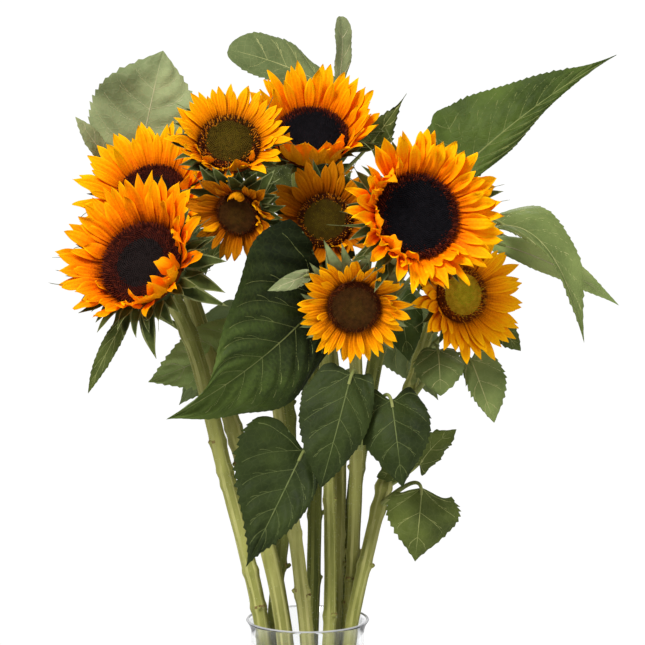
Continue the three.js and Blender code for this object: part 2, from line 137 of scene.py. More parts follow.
LEAF_THICK = 0.5
LOBE = 0.28  # how far behind its base a leaf's outline begins, as a share of its length
PUCKER, SWELL, RIPPLE, DROOP = 0.026, 0.034, 0.035, 0.05  # how far a blade is uneven, against its width
MIDRIB, MIDRIB_GAIN = 0.5, 0.0026  # a midrib's radius, and what it gains with each millimetre of its length
LAST_VEIN = 0.75  # no side vein leaves the midrib beyond this share of it
VEIN_STEP = 21  # the stretch of the midrib that holds one pair of side veins
VEIN_LEAST = 0.48  # a side vein's least radius, which the blade doesn't quite cover
VEIN_RISE, VEIN_CLOSE, VEIN_CURVE = 0.3, 0.5, 0.07  # how side veins lean, lean less near the tip, and curve
VEIN_FORKS, FORKED_FROM = (0.3, 0.5), 36  # where side veins fork, on leaves of at least this width
TOOTH, DEEPEST_TOOTH = 6.2, 2.2  # the stretch of a leaf's margin that holds one tooth, and the greatest depth
TOOTH_SHAPE = np.array([-0.5, 0.1, 0.8])  # how far its three points stand out, against its depth
LEAF_COLUMN = 5.5  # about how wide two faces of a blade are, side by side
# end: a petiole's radius at its leaf. taper, swell: what it gains toward its root, and at it. root: how far
# out that swelling reaches.
PETIOLE_BAR = dict(end=1.5, taper=1.0, swell=1.6, root=9, sides=12)

# One entry for each flower, numbered from 1 in this order.
# foot, mouth, via: points of the stalk's axis. head: the centre of its seat. yaw, pitch: where it faces.
# radii: the stalk at its foot and neck. stem: the stalk's finish, straw unless it is given.
# disc, edge, crown: the seed disc's radius, and its height at the rim and in the middle. face: its finish.
# petal, petals, broad: the petals' length, number and width. row, tint: their tones, one row of them painted
# shade, and how far along those.
# cup, bend: how steeply the petals rise at their foot, and how that changes along them.
# lean, toward: how much more they rise on one side, and which side that is.
# wild, folds: the share of petals that fold out of line, and the side with most of them, else toward's.
# ruffle: how uneven all the petals are. clip: a side, and the share by which the petals there are shorter.
# bract, pale_bracts: the bracts' length, and whether they are pale. leafy: longer, leaf-like bracts, each by
# its angle, length, width and slope. wisps, wisp: the angles of thin curling bracts, and their length
# against the others', WISP unless it is given.
FLOWERS = [
    dict(foot=(-21, -13.5), mouth=(-47, -6.5), via=((-61, -5, 305), (-85, -6.5, 400), (-113.5, -22, 520)),
         head=(-156, -84, 600), yaw=-24, pitch=24, radii=(8.5, 8), stem="green",
         disc=41, edge=9, crown=5, face="maroon",
         petal=49, petals=64, broad=13.5, cup=46, bend=-8, lean=12, toward=-20,
         row="flame", tint=-0.15, wild=0.17, folds=-50, ruffle=1.1, clip=(-112, 0.3),
         bract=30, wisps=(150, 163, 176, 190, 202), wisp=1.75,
         leafy=((-76, 52, 18, -8), (-100, 32, 13, -4), (-58, 30, 12, 0), (6, 42, 16, 2),
                (-12, 54, 17, 0), (-25, 56, 15, -4), (22, 36, 14, 6), (-125, 30, 11, 4))),
    dict(foot=(-1.5, -10.5), mouth=(-25, -17), via=((-38, -10, 305), (-78, 17.5, 440)),
         head=(-155, 9.5, 663), yaw=-14, pitch=32, radii=(9.5, 8),
         disc=36, edge=9, crown=5, face="maroon",
         petal=46, petals=60, broad=12.5, cup=40, bend=-12, lean=8, toward=-60,
         row="flame", tint=0.03, wild=0.06, ruffle=0.8,
         bract=28, wisps=(140, 158, 172, 188, 60)),
    dict(foot=(-35.5, 3), mouth=(-34.5, 18.5), via=((-25, 24.5, 320), (-19.5, 27.5, 440)),
         head=(-75.5, -47.5, 715), yaw=4, pitch=28, radii=(7.5, 6.5), stem="deep",
         disc=29.5, edge=7, crown=8, face="olive",
         petal=33, petals=48, broad=9.5, cup=42, bend=-10, lean=18, toward=-95,
         row="gold", tint=0.02, wild=0.1, ruffle=0.9,
         bract=24, wisps=(150, 178, 30)),
    dict(foot=(12, 9.5), mouth=(26.5, 14.5), via=((29, 18.5, 300), (31, 31.5, 410)),
         head=(4, 34, 723), yaw=2, pitch=38, radii=(8.5, 7.5),
         disc=36.5, edge=9, crown=5, face="black",
         petal=48, petals=58, broad=13.5, cup=61, bend=-4, lean=14, toward=-90,
         row="flame", tint=0.02, wild=0.05, ruffle=0.9,
         bract=24, wisps=(40, 25, 8, -8),
         leafy=((12, 40, 13, 20), (-12, 36, 14, 10))),
    dict(foot=(18, -8), mouth=(-2, -22.5), via=((-10, -21, 310), (-28, -16, 445)),
         head=(-65, -81, 649), yaw=-16, pitch=-22, radii=(8, 6),
         disc=21, edge=6, crown=6, face="brown",
         petal=31, petals=36, broad=9, cup=26, bend=-4, lean=20, toward=60,
         row="painted_shade", tint=0.16, wild=0.12, ruffle=0.9, clip=(-22, 0.3),
         bract=24,
         leafy=((8, 28, 12, 24), (28, 31, 13, 22), (46, 38, 15, 16), (64, 40, 16, 30),
                (84, 38, 16, 40), (104, 36, 16, 34), (124, 40, 15, 26), (144, 42, 14, 20),
                (-14, 34, 12, 12))),
    dict(foot=(2.5, -36), mouth=(22, -24.5), via=((21.5, 5, 380), (18, 25.5, 480)),
         head=(18, -20.5, 640.5), yaw=-6, pitch=12, radii=(6.8, 6), stem="green",
         disc=27, edge=6, crown=7, face="olive",
         petal=33, petals=40, broad=11, cup=34, bend=-8, lean=8, toward=-90,
         row="painted_shade", tint=0.14, wild=0.05, ruffle=0.5,
         bract=26,
         leafy=((100, 38, 10, 30),)),
    dict(foot=(18.5, 27), mouth=(35.5, 30), via=((43, 32, 323), (52.5, 27.5, 403), (68.5, 8, 503)),
         head=(103.5, -97, 646), yaw=14, pitch=10, radii=(8.5, 8), stem="deep",
         disc=40, edge=9, crown=5, face="black",
         petal=44, petals=72, broad=13.5, cup=38, bend=-4, lean=14, toward=205,
         row="flame", tint=0.02, wild=0.13, ruffle=1.8,
         bract=30, wisps=(34, 22, 10, 2, -6, 190, 210, 222), wisp=1.75,
         leafy=((18, 52, 15, 6), (-8, 52, 14, 2), (215, 40, 14, 10), (236, 42, 15, 4))),
    dict(foot=(33, -14.5), mouth=(42.5, 2.5), via=((46.5, 6.5, 317), (49.5, -1, 420)),
         head=(45, -91.5, 560.5), yaw=0, pitch=-16, radii=(7.2, 6.5),
         disc=25, edge=6, crown=7, face="brown",
         petal=30, petals=50, broad=8.6, cup=20, bend=-4, lean=10, toward=80,
         row="gold", tint=-0.02, wild=0.07, ruffle=1.0,
         bract=28, pale_bracts=True,
         leafy=((112, 50, 15, 25), (97, 47, 13, 32), (80, 47, 13, 28), (54, 48, 14, 20),
                (36, 46, 12, 15), (4, 34, 10, 10), (-22, 32, 9, 8), (136, 38, 11, 20))),
    dict(foot=(16.5, -28.5), mouth=(45, -13.5), via=((60, -2.5, 305), (90, 19.5, 420), (108, 22.5, 483)),
         head=(149.5, -42.5, 569), yaw=26, pitch=6, radii=(7.5, 6.5), stem="green",
         disc=27, edge=6, crown=7, face="lime",
         petal=42, petals=54, broad=11.5, cup=22, bend=-6, lean=20, toward=212,
         row="gold", tint=0.06, wild=0.0, ruffle=0.45,
         bract=24),
    dict(foot=(-7, 22.5), mouth=(5, 24.5), via=((7, 25.5, 340), (7, 37, 470)),
         head=(-8.5, 125.5, 691), yaw=176, pitch=22, radii=(7.5, 6.5), stem="deep",
         disc=27, edge=7, crown=6, face="olive",
         petal=34, petals=40, broad=11, cup=34, bend=-8, lean=6, toward=90,
         row="gold", tint=0.06, wild=0.08, ruffle=0.8,
         bract=26),
]

# One entry for each leaf. on: the flower whose stalk carries it. start: the height its petiole starts from.
# base, tip: the ends of the midrib. width: across its widest place. sag: how far the midrib arches.
# crook: where its arch is highest, half-way unless it is given. roll: the blade's turn about the midrib.
# fold: how far both halves rise beside it. point: above 1 the blade is widest near its base, with a long tip.
# skew: how much wider one half is. slant: how much nearer the base that half is widest.
# lobe, wave: how far both halves reach back behind the base, and the margin ripples, against the usual.
# tone: its greens. dusk: its upper side is darker toward its base, a painted shadow where the heads above
# shade it. teeth: how deep its margin is cut.
# veined: how thick its thin veins are, against the usual. under: its underside is turned to the front.
# ears: further blades beside its base, each with its changes to the entry.
LEAVES = [
    dict(name="leaf_top_left", under=True, on=2, start=628, base=(-170, 58, 714), tip=(-147, 50, 813),
         width=112, sag=6, roll=0, fold=8, point=1.12, skew=-0.08, tone="light", teeth=1.7),
    dict(name="leaf_far_left", under=True, on=2, start=610, base=(-209, 48, 707), tip=(-234, 26, 745),
         width=20, sag=3, roll=20, fold=14, point=1.1, tone="light", teeth=0.6),
    dict(name="leaf_crest", under=True, on=4, start=684, base=(16, 90, 781), tip=(-83, 80, 816),
         width=62, sag=6, roll=40, fold=10, point=0.5, tone="pale", teeth=0.8),
    dict(name="leaf_crest_tip", under=True, on=4, start=676, base=(32, 112, 784), tip=(34, 108, 853),
         width=25, sag=4, roll=40, fold=14, point=0.4, tone="light", teeth=0.6),
    dict(name="leaf_top_right", on=7, start=590, base=(149, 8, 687), tip=(311, 20, 807),
         width=76, sag=16, roll=-28, fold=12, point=1.9, skew=-0.5, tone="moss", teeth=0.7, veined=1.3,
         ears=(dict(base=(160, 12, 692), tip=(133, 18, 752),
                    width=44, sag=3, roll=0, point=0.45, skew=0.2),)),
    dict(name="leaf_between", on=4, start=668, base=(65, 50, 720), tip=(101, 42, 770),
         width=36, sag=4, roll=10, fold=16, point=2.6, tone="olive", teeth=1.2),
    dict(name="leaf_right_arch", on=7, start=575, base=(186, 12, 634), tip=(276, -8, 518),
         width=52, sag=40, crook=0.2, roll=-42, fold=16, point=1.3, skew=-0.45, tone="pale", teeth=0.8),
    dict(name="leaf_right_back", on=7, start=548, base=(188, 52, 618), tip=(319, 46, 553),
         width=34, sag=12, roll=-38, fold=10, point=1.1, tone="light", teeth=0.4),
    # Its upper side carries a painted shadow toward its base, where the heads above shade it.
    dict(name="leaf_great", on=5, start=520, base=(17, -50, 568), tip=(-135, -92, 452),
         width=149, sag=18, roll=-30, fold=6, point=1.6, skew=0.07, slant=1.2, lobe=0.3, tone="moss",
         dusk=True, teeth=0.4),
    # Its upper side takes the light tones: painted light, where the heads above shade it.
    dict(name="leaf_left_back", on=2, start=480, base=(-70, 34, 515), tip=(-162, 20, 477),
         width=66, sag=6, roll=0, fold=8, point=1.3, tone="light", teeth=1.2),
    dict(name="leaf_middle", on=8, start=440, base=(43, -72, 495), tip=(13, -88, 385),
         width=70, sag=12, roll=0, fold=-8, point=1.1, skew=0.15, lobe=0.3, tone="deep", teeth=0.7),
    dict(name="leaf_middle_right", on=8, start=405, base=(82, -60, 468), tip=(92, -82, 385),
         width=70, sag=14, roll=0, fold=-10, point=1.2, tone="deep", teeth=1),
    dict(name="leaf_low_left", on=5, start=380, base=(-3, -68, 420), tip=(-59, -92, 309),
         width=88, sag=10, roll=0, fold=8, point=1.6, skew=0.3, slant=0.5, lobe=0.6, tone="deep", teeth=1.6),
    dict(name="leaf_low_right", on=9, start=350, base=(113, -36, 378), tip=(106, -46, 306),
         width=74, sag=6, roll=0, fold=-12, point=1.3, skew=-0.1, lobe=-0.3, tone="olive", teeth=1.3),
    dict(name="leaf_right_upper", on=9, start=470, base=(129, -26, 514), tip=(131, -38, 469),
         width=50, sag=8, roll=0, fold=-8, point=1, lobe=0.4, tone="pale", teeth=1.2),
    dict(name="leaf_right_hanging", on=9, start=450, base=(162, -18, 504), tip=(185, -26, 441),
         width=40, sag=8, roll=0, fold=-8, point=1.1, skew=-0.35, tone="pale", teeth=1.1),
    dict(name="leaf_curled_right", on=9, start=372, base=(113, 12, 394), tip=(150, 6, 431),
         width=30, sag=-8, roll=20, fold=10, point=1, wave=2.2, tone="olive", teeth=1.3),
    dict(name="leaf_curled_left", on=9, start=400, base=(97, 4, 392), tip=(69, -6, 384),
         width=22, sag=4, roll=10, fold=8, point=1, wave=2.0, tone="olive", teeth=1.3),
    dict(name="leaf_under_right", on=7, start=515, base=(91, -30, 563), tip=(100, -42, 503),
         width=40, sag=4, roll=0, fold=6, point=1.2, tone="moss", teeth=0.5),
    dict(name="leaf_right_small", on=9, start=500, base=(187, 10, 540), tip=(214, 4, 510),
         width=25, sag=4, roll=0, fold=8, point=1.1, tone="olive", teeth=1),
    dict(name="leaf_beside_small", under=True, on=8, start=560, base=(0, -92, 590), tip=(-37, -108, 576),
         width=16, sag=3, roll=0, fold=10, point=1.1, tone="light", teeth=0.4),
    dict(name="leaf_left_hanging", on=1, start=530, base=(-179, -24, 546), tip=(-216, -34, 471),
         width=18, sag=6, roll=10, fold=14, point=1, tone="olive", teeth=0.7),
    dict(name="leaf_left_inner", on=1, start=556, base=(-106, -20, 595), tip=(-70, -16, 624),
         width=14, sag=4, roll=0, fold=12, point=1, tone="olive", teeth=0.7),
    dict(name="leaf_back_high_left", on=2, start=570, base=(-118, 88, 632), tip=(-178, 116, 548),
         width=74, sag=10, roll=180, fold=-8, point=1.4, tone="olive", teeth=0.9),
    dict(name="leaf_back_high_right", on=7, start=530, base=(122, 84, 622), tip=(186, 106, 538),
         width=74, sag=10, roll=180, fold=-8, point=1.4, tone="deep", teeth=0.8),
    dict(name="leaf_back_left", on=3, start=440, base=(-70, 105, 530), tip=(-140, 140, 440),
         width=78, sag=12, roll=180, fold=-8, point=1.4, tone="deep", teeth=1),
    dict(name="leaf_back_right", on=10, start=462, base=(82, 118, 552), tip=(140, 140, 445),
         width=80, sag=12, roll=180, fold=-8, point=1.4, tone="olive", teeth=0.9),
    dict(name="leaf_back_middle", on=4, start=400, base=(30, 120, 476), tip=(18, 142, 370),
         width=70, sag=12, roll=180, fold=-8, point=1.3, tone="deep", teeth=0.8),
]

# ---------------------------------------------------------------- finishes

PLANT_GLOSS = 0.12  # how much light a plant's surface reflects, as the shader's specular level
MOTTLE = (0.34, 0.66)  # where the noise over a surface turns from its dark tone to its light one

PETAL_STEPS = 10  # the finishes of a row, from the root of its petals, deeper partly by painted shade, to their edges, lighter by a painted highlight
PETAL_STREAK = 0.07  # how far the two tones of each finish lie to either side of it along the row
PETAL_SKIN = dict(scale=2.4, grain=7, stretch=(6, 0.5, 1), space="UV", Specular_IOR_Level=0.03)
PETAL_BACK_PAINTED_GLOW = 0.12  # painted glow: a petal's back gives out this much light in its own tone, standing in for the light that it lets through
# Each row: the tones from a petal's root to its edge, then the two tones of its back. The flame row's back is
# lightened, painted light on petals that fold over into shade.
PETAL_ROWS = dict(
    flame=(("782c00", "bc4e00", "e66c00", "f98200", "ff9600", "ffaa02", "ffc004"), ("f08e00", "ffa80c")),
    gold=(("703800", "a45200", "cf7000", "e88600", "f69600", "fca802", "ffba06"), ("c47402", "dc920c")),
    # a darkened copy of the rows above: painted shade for heads that stand in the shade of others
    painted_shade=(("3e1c00", "662e00", "8a4000", "a25000", "b05e00", "be6c02", "cc7c08"), ("784600", "925c04")),
)

# For each kind of leaf, the dark and light tones of its upper side, of its underside and of its veins.
LEAF_TONES = dict(
    deep=(("1f2810", "37431b"), ("55633c", "727f52"), ("5c683a", "767e4c")),
    moss=(("324016", "56682a"), ("55633c", "727f52"), ("6c7742", "888e54")),
    olive=(("414b20", "5f6a2e"), ("5f6c42", "7c8858"), ("838a50", "9ea064")),
    pale=(("61703b", "839152"), ("56633a", "747f4f"), ("a0a468", "b6b47c")),
    light=(("869a56", "acba70"), ("747f55", "a0a876"), ("aaa87c", "c0ba94")),
)
PAINTED_SHADOW, PAINTED_SHADOW_STEPS = ("10170a", "1f280f"), 7  # the darkest tones of a leaf's painted shadow, and its steps out of them
UPPER_ROUGH, UNDER_ROUGH = 0.58, 0.72
NET = dict(scale=150.0, line=0.09, share=0.1, strength=0.35, depth=0.5)  # the net of finest veins in a leaf

# For each stalk finish, the tones of its skin and of its ribs.
STALK_TONES = dict(
    straw=(("7b7c39", "b0ad67"), ("92934d", "c0bb78")),
    green=(("767938", "aaa95e"), ("8f904a", "bdba74")),
    # deep: darker stalks, partly their own darker green and partly painted shade, on stalks that stand behind
    # the others
    deep=(("4e5628", "7c803f"), ("666c36", "92944e")),
)
BRACT_SKIN = dict(rough=0.75, Specular_IOR_Level=0.05)
FLORET_TONES = dict(
    black=("121114", "1c1a1e"), pitch=("1d1716", "2a2221"), maroon=("30130f", "4e1f16"),
    rust=("5c2414", "7c341b"), russet=("5a2a0d", "7d3f12"), amber=("b8680e", "e2921c"),
    brown=("432b13", "623e1b"), umber=("4a3911", "614a17"), bark=("38180a", "522610"),
    olive=("44350e", "584610"), moss=("544a0e", "6c5e14"), fern=("93a016", "b8bc22"),
    lime=("a88a18", "ccaa28"),
)

# For each kind of seed disc: the florets' finishes in its middle, around that, at its rim, and on their tips,
# and the shares of the radius where the second, the third and the tips begin.
FACES = dict(
    black=(("black", "black", "maroon", "rust"), (0.5, 0.82, 0.86)),
    maroon=(("pitch", "maroon", "maroon", "rust"), (0.61, 0.84, 0.76)),
    brown=(("umber", "brown", "bark", "russet"), (0.42, 0.84, 0.86)),
    olive=(("moss", "olive", "bark", "amber"), (0.45, 0.8, 0.76)),
    lime=(("fern", "lime", "russet", "amber"), (0.4, 0.78, 0.7)),
)


def node_of(tree, kind, settings=None, **inputs):
    """Adds a node, sets its properties, and sets or links its inputs, by name or as i0, i1 and so on."""
    made = tree.nodes.new(kind)
    for key, value in (settings or {}).items():
        setattr(made, key, value)
    for key, value in inputs.items():
        numbered = key[0] == "i" and key[1:].isdigit()
        socket = made.inputs[int(key[1:])] if numbered else made.inputs[key.replace("_", " ")]
        if isinstance(value, bpy.types.NodeSocket):
            tree.links.new(value, socket)
        else:
            socket.default_value = value
    return made


def parts_of(hexadecimal):
    return np.array([int(hexadecimal[i : i + 2], 16) / 255 for i in (0, 2, 4)])


def linear(hexadecimal):
    """An sRGB colour as linear RGBA."""
    parts = parts_of(hexadecimal)
    return tuple(c / 12.92 if c <= 0.04045 else ((c + 0.055) / 1.055) ** 2.4 for c in parts) + (1.0,)


def blended(colours, share):
    """The colour at a share of the way along a row of hexadecimal colours, as hexadecimal."""
    rows = np.array([parts_of(c) for c in colours])
    at = share * (len(rows) - 1)
    parts = [np.interp(at, range(len(rows)), rows[:, i]) for i in range(3)]
    return "".join(f"{round(255 * p):02x}" for p in parts)


def blank_finish(name, **values):
    """A new material, its node tree and its shader, with values set on the shader's own sockets."""
    material = bpy.data.materials.new(name)
    material.use_nodes = True
    bsdf = material.node_tree.nodes["Principled BSDF"]
    for key, value in values.items():
        bsdf.inputs[key.replace("_", " ")].default_value = value
    return material, material.node_tree, bsdf


def finish(name, dark, light, scale=60, rough=0.7, bump=0.3, grain=900, depth=0.4, stretch=(1, 1, 1),
           space="Object", **shader):
    """A mottled plant surface: two close tones in a soft noise, with a finer grain in its relief."""
    values = {"Specular_IOR_Level": PLANT_GLOSS, "Roughness": rough, **shader}
    material, tree, bsdf = blank_finish(name, **values)
    place = node_of(tree, "ShaderNodeTexCoord").outputs[space]
    laid = node_of(tree, "ShaderNodeMapping", Vector=place, Scale=stretch).outputs[0]
    patches = node_of(tree, "ShaderNodeTexNoise", Vector=laid, Scale=scale, Detail=5.0, Roughness=0.6)
    ramp = node_of(tree, "ShaderNodeValToRGB", i0=patches.outputs[0])
    low, high = ramp.color_ramp.elements
    low.position, high.position = MOTTLE
    low.color, high.color = linear(dark), linear(light)
    tree.links.new(ramp.outputs[0], bsdf.inputs["Base Color"])
    fine = node_of(tree, "ShaderNodeTexNoise", Vector=laid, Scale=grain, Detail=3.0)
    relief = node_of(tree, "ShaderNodeBump", Strength=bump, Distance=depth * MM, Height=fine.outputs[0])
    tree.links.new(relief.outputs[0], bsdf.inputs["Normal"])
    return material


def petal_finishes(key, row, back):
    """A row's tones from the root of a petal, deeper partly by painted shade, to its edge, lighter by a
    painted highlight, streaked along it, and its back.
    """
    made = []
    for i in range(PETAL_STEPS):
        share = i / (PETAL_STEPS - 1)
        pair = [blended(row, min(max(share + change, 0), 1)) for change in (-PETAL_STREAK, PETAL_STREAK)]
        made.append(finish(f"petal_{key}_{i}", *pair, rough=0.6, bump=0.5, depth=0.3, **PETAL_SKIN))
    # The back glows in its own tone: painted light.
    made.append(finish(f"petal_{key}_back", *back, bump=0.4, Emission_Color=linear(back[0]),
                       Emission_Strength=PETAL_BACK_PAINTED_GLOW, **PETAL_SKIN))
    return made


def leaf_skin(name, tones, vein, raised, rough):
    """Leaf skin: broad soft patches, with a fine net of veins that is sunk above and raised below."""
    material = finish(name, *tones, scale=16, rough=rough, bump=0.5, grain=95, depth=1.6)
    tree = material.node_tree
    bsdf = tree.nodes["Principled BSDF"]
    place = node_of(tree, "ShaderNodeTexCoord").outputs["Object"]
    edges = dict(feature="DISTANCE_TO_EDGE")
    net = node_of(tree, "ShaderNodeTexVoronoi", edges, Vector=place, Scale=NET["scale"]).outputs["Distance"]
    line = node_of(tree, "ShaderNodeMapRange", i0=net, i1=0.0, i2=NET["line"], i3=1.0, i4=0.0).outputs[0]
    share = node_of(tree, "ShaderNodeMath", dict(operation="MULTIPLY"), i0=line, i1=NET["share"]).outputs[0]
    patches = bsdf.inputs["Base Color"].links[0].from_socket
    mixed = node_of(tree, "ShaderNodeMix", dict(data_type="RGBA"), i0=share, i6=patches, i7=linear(vein))
    tree.links.new(mixed.outputs[2], bsdf.inputs["Base Color"])
    soft = bsdf.inputs["Normal"].links[0].from_socket
    relief = node_of(tree, "ShaderNodeBump", dict(invert=not raised), Strength=NET["strength"],
                     Distance=NET["depth"] * MM, Height=line, Normal=soft)
    tree.links.new(relief.outputs[0], bsdf.inputs["Normal"])
    return material


def leaf_finishes(key, upper, under, vein):
    """The finishes of one kind of leaf: its upper side, its underside, its veins and its petiole."""
    return [leaf_skin(f"leaf_{key}_upper", upper, vein[0], False, UPPER_ROUGH),
            leaf_skin(f"leaf_{key}_under", under, vein[1], True, UNDER_ROUGH),
            finish(f"leaf_{key}_vein", *vein, scale=120, bump=0.1), PETIOLE]


def painted_shadow_finish(i):
    """A step of a leaf's painted shadow, from its darkest tones to those of a moss leaf."""
    tones = [blended(pair, i / PAINTED_SHADOW_STEPS) for pair in zip(PAINTED_SHADOW, LEAF_TONES["moss"][0])]
    return leaf_skin(f"leaf_dusk_{i}", tones, LEAF_TONES["deep"][2][0], False, UPPER_ROUGH)


def stalk_finishes(key, skin, ridge):
    """A stalk's skin between its ribs, and on them."""
    return [finish(f"stalk_{key}_skin", *skin, scale=46, bump=0.8, grain=300, depth=0.7,
                   stretch=(1, 1, 0.12)),
            finish(f"stalk_{key}_ridge", *ridge, bump=0.7, grain=300, depth=0.6, stretch=(1, 1, 0.1))]


PETALS = {key: petal_finishes(key, *row) for key, row in PETAL_ROWS.items()}
PETIOLE = finish("petiole", "757f43", "9c9f62", scale=90)
LEAF_FINISHES = {key: leaf_finishes(key, *tones) for key, tones in LEAF_TONES.items()}
LEAF_PAINTED_SHADOW = [painted_shadow_finish(i) for i in range(PAINTED_SHADOW_STEPS)]
STALKS = {key: stalk_finishes(key, *tones) for key, tones in STALK_TONES.items()}
STALK_SCAR = finish("stalk_scar", "6a5630", "93804c", scale=200, rough=0.85, bump=0.8, grain=1500)
STALK_HAIR = finish("stalk_hair", "cdd0a8", "e6e6cc", scale=200, rough=0.6, bump=0.0)
CALYX = finish("calyx_skin", "363d20", "5c6434", scale=70, rough=0.75, bump=0.6)
BRACT = finish("bract", "30391c", "535d2c", bump=0.6, grain=600, **BRACT_SKIN)
# Paler bracts: partly their own paler green, partly painted light, lightened against the shade that they
# stand in.
BRACT_PALE = finish("bract_pale", "6e7c4a", "9aa670", bump=0.6, grain=600, **BRACT_SKIN)
BRACT_EDGE = finish("bract_edge", "636a40", "868a5a", scale=100, bump=0.2, **BRACT_SKIN)
FLORETS = {key: finish(f"floret_{key}", *pair, scale=260, rough=0.85, Specular_IOR_Level=0.05)
           for key, pair in FLORET_TONES.items()}
GLASS = blank_finish("vase_glass", Base_Color=(0.98, 0.99, 0.99, 1), Roughness=0.0, Transmission_Weight=1.0,
                     IOR=1.45)[0]
# The lip's top: whiter, cloudier glass, a painted highlight for the light that its edge catches.
GLASS_LIP_PAINTED_HIGHLIGHT = blank_finish("vase_lip_painted_highlight", Base_Color=(0.92, 0.93, 0.95, 1), Roughness=0.0,
                         Transmission_Weight=0.35, IOR=1.2, Alpha=0.6)[0]

# ---------------------------------------------------------------- shapes


def unit(v):
    return v / np.maximum(np.linalg.norm(v, axis=-1, keepdims=True), 1e-12)


def rad(degrees):
    return np.radians(degrees)


def cross_axes(along, side):
    """Two axes across a direction, the first as near to the given side as it can be."""
    along = unit(np.asarray(along, float))
    side = np.broadcast_to(np.asarray(side, float), along.shape)
    first = unit(side - along * (side * along).sum(-1, keepdims=True))
    return first, np.cross(along, first)


def swing(random, reach):
    """A random number between -reach and reach."""
    return reach * random.uniform(-1, 1)


def middles(row):
    """The values half-way between those of a row, where the faces between them are."""
    return 0.5 * (row[1:] + row[:-1])


EDGE_ANGLE = 62  # faces that meet at more than this keep a sharp edge


class Shell:
    """The vertices and faces of one piece, gathered before its mesh is made."""

    def __init__(self):
        self.points, self.faces, self.tones, self.layout, self.count = [], [], [], [], 0

    def add(self, points, faces, tone, layout=None):
        """Adds points (in mm), faces as lists of indices, and one tone for all faces or one for each."""
        points = np.asarray(points, float).reshape(-1, 3)
        self.points.append(points * MM)
        self.faces.extend([[i + self.count for i in face] for face in np.asarray(faces).tolist()])
        self.tones.extend(np.broadcast_to(tone, len(faces)).tolist())
        self.layout.append(np.zeros((len(points), 2)) if layout is None else np.reshape(layout, (-1, 2)))
        self.count += len(points)

    def piece(self, name, materials):
        """Makes the object, smooth but for its edges, with its materials and its layout as a UV map."""
        mesh = bpy.data.meshes.new(name)
        mesh.from_pydata(np.concatenate(self.points).tolist(), [], self.faces)
        for material in materials:
            mesh.materials.append(material)
        mesh.polygons.foreach_set("material_index", np.array(self.tones, np.int32))
        mesh.polygons.foreach_set("use_smooth", np.ones(len(self.faces), bool))
        corner = np.empty(len(mesh.loops), np.int32)
        mesh.loops.foreach_get("vertex_index", corner)
        laid = np.concatenate(self.layout)[corner].ravel().astype(np.float32)
        mesh.uv_layers.new(name="UVMap").data.foreach_set("uv", laid)
        mesh.update()
        mesh.set_sharp_from_angle(angle=rad(EDGE_ANGLE))
        return linked(name, mesh)


def linked(name, data):
    """A new object in the scene."""
    made = bpy.data.objects.new(name, data)
    bpy.context.scene.collection.objects.link(made)
    return made


def keep(piece, node):
    """Seats a piece on the bunch and hides the solid that it stands for."""
    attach(piece, "root")
    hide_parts(node)
    return piece


def strip(index, closed):
    """The quads between the rows of a grid of indices, whose columns may close into a ring."""
    if closed:
        index = np.concatenate([index, index[:, :1]], axis=1)
    return np.stack([index[:-1, :-1], index[:-1, 1:], index[1:, 1:], index[1:, :-1]], -1).reshape(-1, 4)


def tube(shell, path, radii, sides, tone, side=(1, 0, 0), end_tone=None):
    """A closed round bar along a path. radii has one value for each point, or one row of values."""
    path = np.asarray(path, float)
    rows = len(path)
    radii = np.broadcast_to(np.asarray(radii, float).reshape(rows, -1), (rows, sides))
    across, other = cross_axes(np.gradient(path, axis=0), side)
    angle = 2 * np.pi * np.arange(sides) / sides
    ring = across[:, None] * np.cos(angle)[None, :, None] + other[:, None] * np.sin(angle)[None, :, None]
    points = path[:, None] + ring * radii[..., None]
    shell.add(points, strip(np.arange(rows * sides).reshape(rows, sides), True), tone)
    fan = np.stack([np.full(sides, sides), np.arange(sides), np.roll(np.arange(sides), -1)], 1)
    end_tone = tone if end_tone is None else end_tone
    shell.add(np.concatenate([points[0], path[:1]]), fan[:, ::-1], end_tone)
    shell.add(np.concatenate([points[-1], path[-1:]]), fan, end_tone)


def turned(shell, profile, sides, tone, place=None):
    """A closed body turned about +Z, from [radius, height] points between its two poles."""
    profile = np.asarray(profile, float)
    angle = 2 * np.pi * np.arange(sides) / sides
    radius, height = profile[1:-1, :1], profile[1:-1, 1:] * np.ones(sides)
    rings = np.stack([radius * np.cos(angle), radius * np.sin(angle), height], -1)
    index = np.arange(rings[..., 0].size).reshape(-1, sides)
    points = np.concatenate([rings.reshape(-1, 3), [[0, 0, profile[0, 1]], [0, 0, profile[-1, 1]]]])
    if place is not None:
        points = placed(points, place)
    low, high = len(points) - 2, len(points) - 1
    after = np.roll(np.arange(sides), -1)
    fans = [[low, index[0, k], index[0, j]] for j, k in enumerate(after)]
    fans += [[high, index[-1, j], index[-1, k]] for j, k in enumerate(after)]
    start = shell.count
    shell.add(points, strip(index, True), tone)
    shell.faces.extend([[int(i) + start for i in fan] for fan in fans])
    shell.tones.extend([tone] * len(fans))


